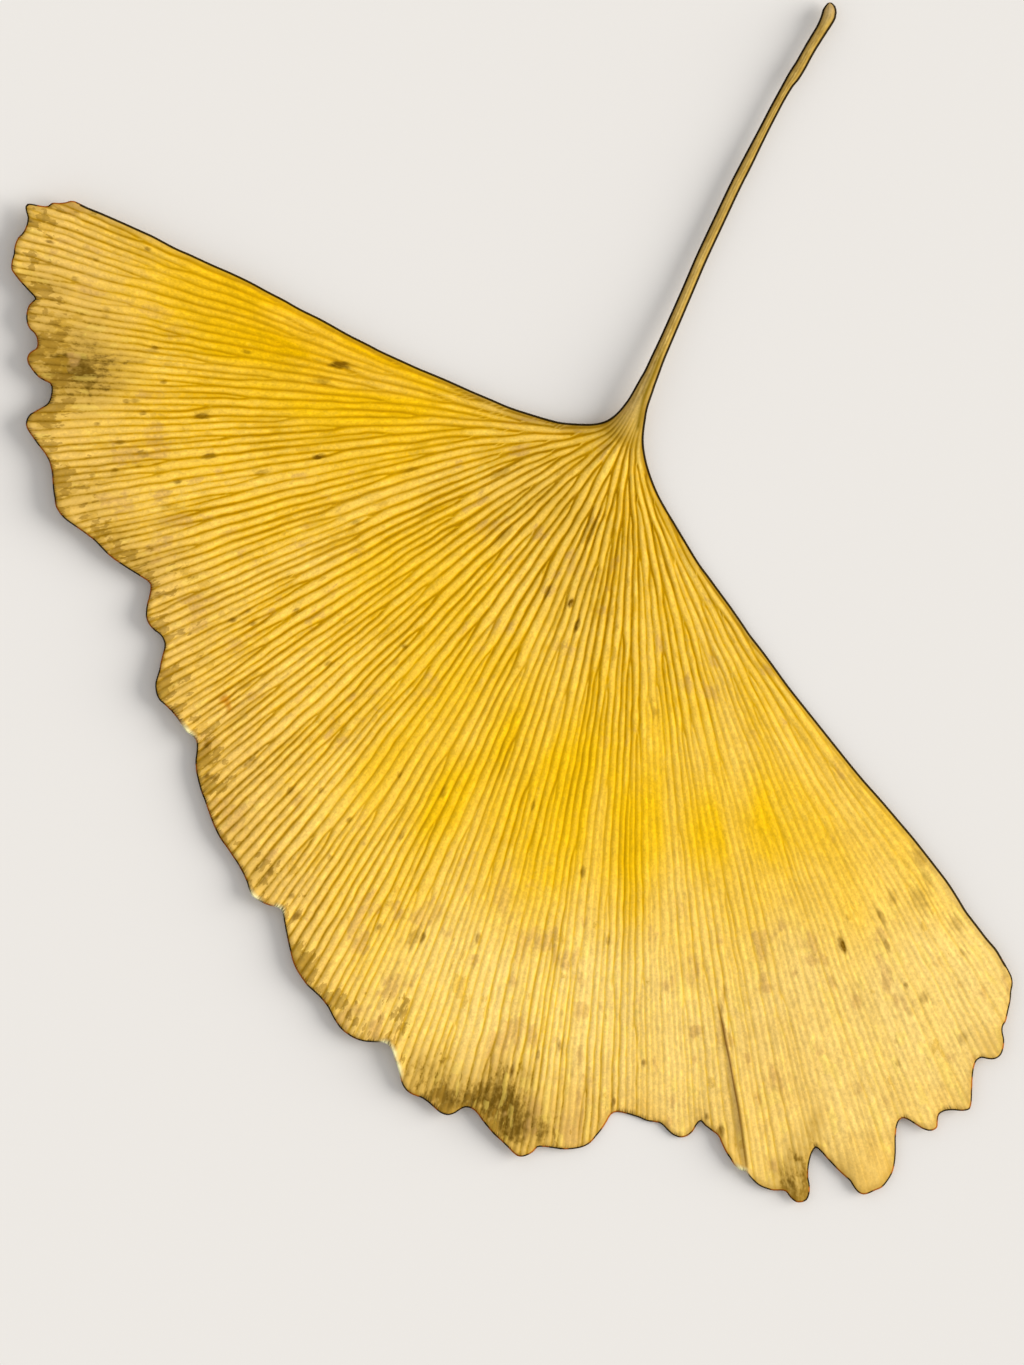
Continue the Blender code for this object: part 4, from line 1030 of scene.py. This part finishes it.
# ---------------------------------------------------------------- into the frame
c, s = math.cos(TURN), math.sin(TURN)
outline_all = np.vstack([LEFT_SIDE, MARGIN, RIGHT_SIDE, loft_xy.reshape(-1, 2)])


def turned(p):
    return np.stack([(p[:, 0] * c + p[:, 1] * s) * MM, (p[:, 0] * s - p[:, 1] * c) * MM], axis=1)


flat_box = turned(outline_all)
low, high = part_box("ginkgo_leaf")
shift = (np.array(low)[:2] + np.array(high)[:2]) / 2 * 1000 - (flat_box.min(0) + flat_box.max(0)) / 2
placed = turned(xy) + shift
points = np.column_stack([placed, z]) / 1000

mesh = bpy.data.meshes.new("leaf_surface")
mesh.from_pydata(points.tolist(), [], all_faces.tolist())
mesh.validate(clean_customdata=False)
bm = bmesh.new()
bm.from_mesh(mesh)
loose_verts = [v for v in bm.verts if not v.link_faces]
bmesh.ops.delete(bm, geom=loose_verts, context="VERTS")
bmesh.ops.recalc_face_normals(bm, faces=bm.faces)
if bm.calc_volume(signed=True) < 0:
    bmesh.ops.reverse_faces(bm, faces=bm.faces)
bm.to_mesh(mesh)
bm.free()
used = np.ones(len(xy), bool)
used[:] = False
used[np.unique(all_faces)] = True

for name, values in {
    "vein": vein, "veil": line_wide * power, "gold": gold, "amber": amber, "pale": pale, "tan": tan, "olive": olive,
    "fleck": fleck, "grime": grime, "bright": bright, "pink": pink, "spot": spot, "ember": ember,
    "fold": fold_line_and_shade, "edge": edge, "rim_tone": rim_tone, "lip_highlight": painted_lip_highlight,
    "under": under_mask, "stalk": stalkness, "stalk_side": loft_part, "stria": stria * stalkness,
    "neck_tan": neck_tan, "neck_dark": neck_dark, "stalk_end": stalk_end,
    "across_veins": across_veins, "along_veins": along_veins, "vein_level": vein_level,
}.items():
    attribute = mesh.attributes.new(name, "FLOAT", "POINT")
    attribute.data.foreach_set("value", np.asarray(values, np.float32)[used])
mesh.shade_smooth()

# A flat map: the upper side below, the underside above it.
n_faces, n_loops = len(mesh.polygons), len(mesh.loops)
normals = np.empty(n_faces * 3, np.float32)
mesh.polygons.foreach_get("normal", normals)
down = np.repeat(normals.reshape(-1, 3)[:, 2] < 0, 3)
corner = np.empty(n_loops, np.int32)
mesh.loops.foreach_get("vertex_index", corner)
flat = np.empty(len(mesh.vertices) * 3, np.float32)
mesh.vertices.foreach_get("co", flat)
flat = flat.reshape(-1, 3)[corner][:, :2].astype(float)
flat -= flat.min(0)
tall = flat[:, 1].max()
flat[:, 1] += down * (tall + 0.002)
atlas = mesh.uv_layers.new(name="OFBake")
atlas.uv.foreach_set("vector", (flat / (2 * tall + 0.004) + 0.004).ravel().astype(np.float32))

leaf = bpy.data.objects.new("ginkgo_leaf_surface", mesh)
bpy.context.scene.collection.objects.link(leaf)


# ---------------------------------------------------------------- material
def srgb(r, g, b):
    return tuple(((v / 255 + 0.055) / 1.055) ** 2.4 if v > 10 else v / 255 / 12.92 for v in (r, g, b)) + (1.0,)


class Nodes:
    def __init__(self, name):
        self.material = bpy.data.materials.new(name)
        self.material.use_nodes = True
        self.tree = self.material.node_tree
        self.shader = self.tree.nodes["Principled BSDF"]
        self.held = {}

    def link(self, a, b):
        self.tree.links.new(a, b)

    def attribute(self, name):
        if name not in self.held:
            node = self.tree.nodes.new("ShaderNodeAttribute")
            node.attribute_name = name
            self.held[name] = node.outputs["Fac"]
        return self.held[name]

    def math(self, kind, a, b=0.0, clamp=False):
        node = self.tree.nodes.new("ShaderNodeMath")
        node.operation, node.use_clamp = kind, clamp
        for socket, value in zip(node.inputs, (a, b)):
            if isinstance(value, (int, float)):
                socket.default_value = value
            else:
                self.link(value, socket)
        return node.outputs[0]

    def ramp(self, value, low, high, to_low=0.0, to_high=1.0):
        node = self.tree.nodes.new("ShaderNodeMapRange")
        node.interpolation_type = "SMOOTHSTEP"
        self.link(value, node.inputs["Value"])
        for name, number in (("From Min", low), ("From Max", high), ("To Min", to_low), ("To Max", to_high)):
            node.inputs[name].default_value = number
        return node.outputs["Result"]

    def mix(self, factor, a, b, kind="MIX"):
        node = self.tree.nodes.new("ShaderNodeMix")
        node.data_type, node.blend_type = "RGBA", kind
        node.clamp_factor = True
        fac, first, second = node.inputs[0], node.inputs[6], node.inputs[7]
        for socket, value in ((fac, factor), (first, a), (second, b)):
            if isinstance(value, (int, float, tuple)):
                socket.default_value = value
            else:
                self.link(value, socket)
        return node.outputs[2]

    def along_veins(self, cell, length, seed, detail=2.0):
        """Noise about zero, drawn out along the veins: cell across them and length along them."""
        total = None
        for k in range(4):
            across = self.math("MULTIPLY", self.attribute("across_veins"), 2 ** k / cell)
            place = self.tree.nodes.new("ShaderNodeCombineXYZ")
            self.link(self.math("ADD", across, seed + 31.7 * k), place.inputs[0])
            self.link(self.math("MULTIPLY", self.attribute("along_veins"), 1 / length), place.inputs[1])
            place.inputs[2].default_value = 0.37 * seed + 9.1 * k
            value = self.noise(place.outputs[0], 1.0, detail, 0.6)
            near = self.math("ABSOLUTE", self.math("SUBTRACT", self.attribute("vein_level"), float(k)))
            near = self.math("SQRT", self.math("SUBTRACT", 1.0, near, clamp=True))
            part = self.math("MULTIPLY", self.math("SUBTRACT", value, 0.5), near)
            total = part if total is None else self.math("ADD", total, part)
        return total

    def crisp(self, mask, marks, gain=2.2, low=0.40, high=0.60):
        """The mask broken up by marks, with sharp borders, and nothing where the mask is zero."""
        found = self.ramp(self.math("ADD", mask, self.math("MULTIPLY", marks, gain)), low, high)
        return self.math("MULTIPLY", found, self.ramp(mask, 0.02, 0.22))

    def noise(self, vector, scale, detail=3.0, rough=0.55):
        node = self.tree.nodes.new("ShaderNodeTexNoise")
        node.inputs["Scale"].default_value = scale
        node.inputs["Detail"].default_value = detail
        node.inputs["Roughness"].default_value = rough
        self.link(vector, node.inputs["Vector"])
        return node.outputs["Fac"]


def leaf_material():
    n = Nodes("leaf_skin")
    place = n.tree.nodes.new("ShaderNodeTexCoord").outputs["Object"]
    grain = n.noise(place, 5200, 3, 0.6)
    cells = n.noise(place, 2300, 3, 0.6)
    cloud = n.noise(place, 420, 4, 0.6)
    a = n.attribute
    streak = n.along_veins(2.3, 8.0, 3.0)      # short fine dashes
    dash = n.along_veins(4.6, 13.0, 17.0)      # marks about as wide as a band
    patch = n.along_veins(9.0, 24.0, 29.0)

    def zones(middle, gold, amber, pale, tan, olive, neck):
        col = n.mix(a("gold"), middle, gold)
        col = n.mix(a("amber"), col, amber)
        col = n.mix(n.math("MULTIPLY", a("neck_tan"), 0.95), col, neck)
        col = n.mix(a("pale"), col, pale)
        col = n.mix(n.math("ADD", a("tan"), n.math("MULTIPLY", patch, n.ramp(a("tan"), 0.0, 0.3, 0.0, 1.2)),
                           clamp=True), col, tan)
        return n.mix(olive_marks, col, olive)

    # the dark olive stains are blotched in all directions, more than along the veins
    blotch = n.math("ADD", n.math("MULTIPLY", n.math("SUBTRACT", cells, 0.5), 1.1),
                    n.math("MULTIPLY", n.math("SUBTRACT", grain, 0.5), 0.9))
    blotch = n.math("ADD", blotch, n.math("MULTIPLY", n.math("ADD", dash, streak), 1.5))
    olive_marks = n.math("ADD", n.math("MULTIPLY", a("olive"), 0.85),
                         n.math("MULTIPLY", blotch, n.ramp(a("olive"), 0.02, 0.45, 0.0, 0.8)), clamp=True)
    deep = n.ramp(n.math("ADD", n.math("MULTIPLY", a("olive"), 0.60), n.math("MULTIPLY", blotch, 0.6)),
                  0.38, 1.15)
    light = zones(srgb(252, 206, 88), srgb(250, 197, 24), srgb(240, 185, 0), srgb(252, 214, 124),
                  srgb(242, 198, 103), n.mix(deep, srgb(194, 154, 66), srgb(108, 79, 18)), srgb(208, 172, 96))
    middle = zones(srgb(220, 168, 10), srgb(226, 174, 0), srgb(222, 168, 0), srgb(238, 193, 72),
                   srgb(204, 159, 52), n.mix(deep, srgb(152, 117, 36), srgb(98, 72, 10)), srgb(172, 135, 40))
    dark = zones(srgb(178, 126, 0), srgb(194, 143, 0), srgb(206, 154, 0), srgb(212, 165, 38),
                 srgb(156, 113, 6), srgb(92, 66, 2), srgb(126, 96, 8))
    duller = n.math("SUBTRACT", 1.0, n.math("MULTIPLY", a("gold"), 0.8))
    bright = n.math("MULTIPLY", n.crisp(a("bright"), dash, 1.6), n.math("MULTIPLY", duller, 0.34))
    light = n.mix(bright, light, srgb(255, 222, 104))
    light = n.mix(n.math("MULTIPLY", n.crisp(a("fleck"), n.math("ADD", dash, streak), 1.5), 0.46), light,
                  n.mix(a("gold"), srgb(196, 152, 46), srgb(206, 156, 4)))
    pink = n.math("MULTIPLY", n.crisp(a("pink"), n.math("ADD", patch, n.math("MULTIPLY", dash, 0.6)),
                                      1.5, 0.26, 0.72), n.math("MULTIPLY", duller, 0.66))
    light = n.mix(pink, light, srgb(208, 164, 92))
    middle = n.mix(n.math("MULTIPLY", pink, 0.8), middle, srgb(186, 142, 60))
    grime = n.math("MULTIPLY", n.crisp(a("grime"), n.math("ADD", dash, streak), 2.0), 0.62)
    light = n.mix(grime, light, srgb(158, 120, 40))
    middle = n.mix(grime, middle, srgb(136, 100, 24))
    # vein lines: golden shoulders and a dark core, broken up along their length
    core = n.math("MULTIPLY", a("vein"), n.math("ADD", n.ramp(cells, 0.25, 0.6, 0.80, 1.10),
                                                n.math("MULTIPLY", streak, 1.8)))
    rough_line = n.math("ADD", 1.0, n.math("MULTIPLY", n.math("SUBTRACT", grain, 0.5), 1.2))
    rough_line = n.math("SUBTRACT", rough_line, n.math("MULTIPLY", a("olive"), 0.30, clamp=True))
    core = n.math("MULTIPLY", core, rough_line)
    soft = n.math("MULTIPLY", a("veil"), 0.13)
    line = n.math("ADD", core, soft, clamp=True)
    col = n.mix(n.ramp(line, -0.05, 0.62), light, middle)
    col = n.mix(n.ramp(line, 0.30, 1.05), col, dark)
    # fine mottling
    tone = n.ramp(cells, 0.3, 0.7, 0.93, 1.06)
    tone = n.math("MULTIPLY", tone, n.ramp(grain, 0.3, 0.7, 0.91, 1.08))
    tone = n.math("MULTIPLY", tone, n.ramp(streak, -0.22, 0.22, 0.90, 1.07))
    tone = n.math("MULTIPLY", tone, n.ramp(dash, -0.20, 0.20, 0.965, 1.03))
    tone = n.math("MULTIPLY", tone, n.ramp(cloud, 0.3, 0.7, 0.97, 1.04))
    shade = n.tree.nodes.new("ShaderNodeCombineColor")
    for socket in shade.inputs[:3]:
        n.link(tone, socket)
    col = n.mix(1.0, col, shade.outputs[0], "MULTIPLY")
    ragged = n.ramp(n.math("ADD", dash, streak), -0.22, 0.14, 0.72, 1.20)
    col = n.mix(n.math("MULTIPLY", a("spot"), ragged), col, srgb(118, 81, 2))
    col = n.mix(n.math("MULTIPLY", a("ember"), 0.72), col, srgb(186, 116, 10))
    # the crease line with its painted shadow and the painted shade beside it
    col = n.mix(n.math("MULTIPLY", a("fold"), 0.95), col, srgb(128, 76, 8))
    # stalk: olive to the left, yellower to the right, with fine lines along it; the olive left is painted shade and
    # the yellower right is painted light, as the light comes from the right
    across = n.ramp(a("stalk_side"), 0.25, 0.8)
    stem = n.mix(across, srgb(196, 165, 98), srgb(200, 167, 86))
    stem = n.mix(n.ramp(a("stria"), -0.6, 0.8, 0.0, 0.45), stem, srgb(134, 102, 20))
    stem = n.mix(n.ramp(dash, 0.02, 0.16, 0.0, 0.5), stem, srgb(150, 116, 44))
    stem = n.mix(n.ramp(dash, -0.04, -0.18, 0.0, 0.4), stem, srgb(236, 200, 110))
    stem = n.mix(a("stalk_end"), stem, srgb(190, 163, 112))
    stem = n.mix(1.0, stem, shade.outputs[0], "MULTIPLY")
    col = n.mix(a("stalk"), col, stem)
    col = n.mix(a("neck_dark"), col, srgb(122, 96, 4))
    # underside: paler and duller
    col = n.mix(n.math("MULTIPLY", a("under"), 0.70), col, srgb(198, 172, 116))
    # rim: a hairline of near black that breaks into orange-brown, with painted highlights where the curled-up
    # margin catches the light
    near = n.ramp(a("edge"), 1.05, 1.95, 1.0, 0.0)
    rim = n.mix(n.ramp(a("rim_tone"), 0.46, 0.70), (0.0006, 0.0003, 0.0001, 1.0), srgb(158, 84, 12))
    rim = n.mix(a("lip_highlight"), rim, srgb(255, 248, 190))
    warm = n.ramp(a("edge"), 1.6, 7.0, 0.42, 0.0)
    col = n.mix(warm, col, srgb(164, 122, 34))
    # painted highlight just inside the curled-up margin
    col = n.mix(n.math("MULTIPLY", a("lip_highlight"), n.ramp(a("edge"), 1.0, 6.0, 0.85, 0.0)), col,
                srgb(255, 244, 180))
    col = n.mix(n.math("MULTIPLY", near, 0.96), col, rim)
    n.link(col, n.shader.inputs["Base Color"])
    rough = n.ramp(cells, 0.3, 0.7, 0.50, 0.68)
    n.link(rough, n.shader.inputs["Roughness"])
    n.shader.inputs["Specular IOR Level"].default_value = 0.02
    bump = n.tree.nodes.new("ShaderNodeBump")
    bump.inputs["Strength"].default_value = 0.5
    bump.inputs["Distance"].default_value = 0.00003
    n.link(n.math("ADD", cells, n.math("MULTIPLY", grain, 0.5)), bump.inputs["Height"])
    n.link(bump.outputs["Normal"], n.shader.inputs["Normal"])
    return n.material


mesh.materials.append(leaf_material())
print("triangles", len(mesh.polygons))
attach(leaf, "root")
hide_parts("ginkgo_leaf")

# ---------------------------------------------------------------- floor, light and camera
floor_mesh = bpy.data.meshes.new("floor")
r = 1.2
floor_mesh.from_pydata([(-r, -r, -4e-5), (r, -r, -4e-5), (r, r, -4e-5), (-r, r, -4e-5)], [], [(0, 1, 2, 3)])
floor = bpy.data.objects.new("floor", floor_mesh)
bpy.context.scene.collection.objects.link(floor)
paper = bpy.data.materials.new("pale_floor")
paper.use_nodes = True
paper.node_tree.nodes["Principled BSDF"].inputs["Base Color"].default_value = srgb(231, 227, 222)
paper.node_tree.nodes["Principled BSDF"].inputs["Roughness"].default_value = 0.9
paper.node_tree.nodes["Principled BSDF"].inputs["Specular IOR Level"].default_value = 0.1
floor_mesh.materials.append(paper)

key = bpy.data.lights.new("key", "SUN")
key.energy = 3.5
key.angle = math.radians(46)
key.color = (1.0, 0.990, 0.965)
key_obj = bpy.data.objects.new("key", key)
bpy.context.scene.collection.objects.link(key_obj)
# The light comes from the right of the picture.
bearing = math.radians(3) + TURN
height_angle = math.radians(24)
toward = Vector((math.cos(bearing) * math.cos(height_angle), math.sin(bearing) * math.cos(height_angle),
                 math.sin(height_angle)))
key_obj.rotation_euler = toward.to_track_quat("Z", "Y").to_euler()

world = bpy.data.worlds.new("studio")
world.use_nodes = True
world.node_tree.nodes["Background"].inputs["Color"].default_value = (0.980, 0.988, 1.0, 1)
world.node_tree.nodes["Background"].inputs["Strength"].default_value = 0.62
bpy.context.scene.world = world

camera = bpy.data.cameras.new("camera")
camera.lens = 400
camera.sensor_width = 36
camera.clip_end = 20
camera_obj = bpy.data.objects.new("camera", camera)
bpy.context.scene.collection.objects.link(camera_obj)
middle = turned(np.array([[512.0, 682.5]]))[0] + shift
camera_obj.location = (middle[0] / 1000, middle[1] / 1000, 1365 * UNIT * 400 / 36 + 0.0009)
camera_obj.rotation_euler = (0, 0, TURN)
bpy.context.scene.camera = camera_obj
bpy.context.scene.view_settings.view_transform = "Standard"
bpy.context.scene.view_settings.look = "None"

bpy.context.view_layer.update()
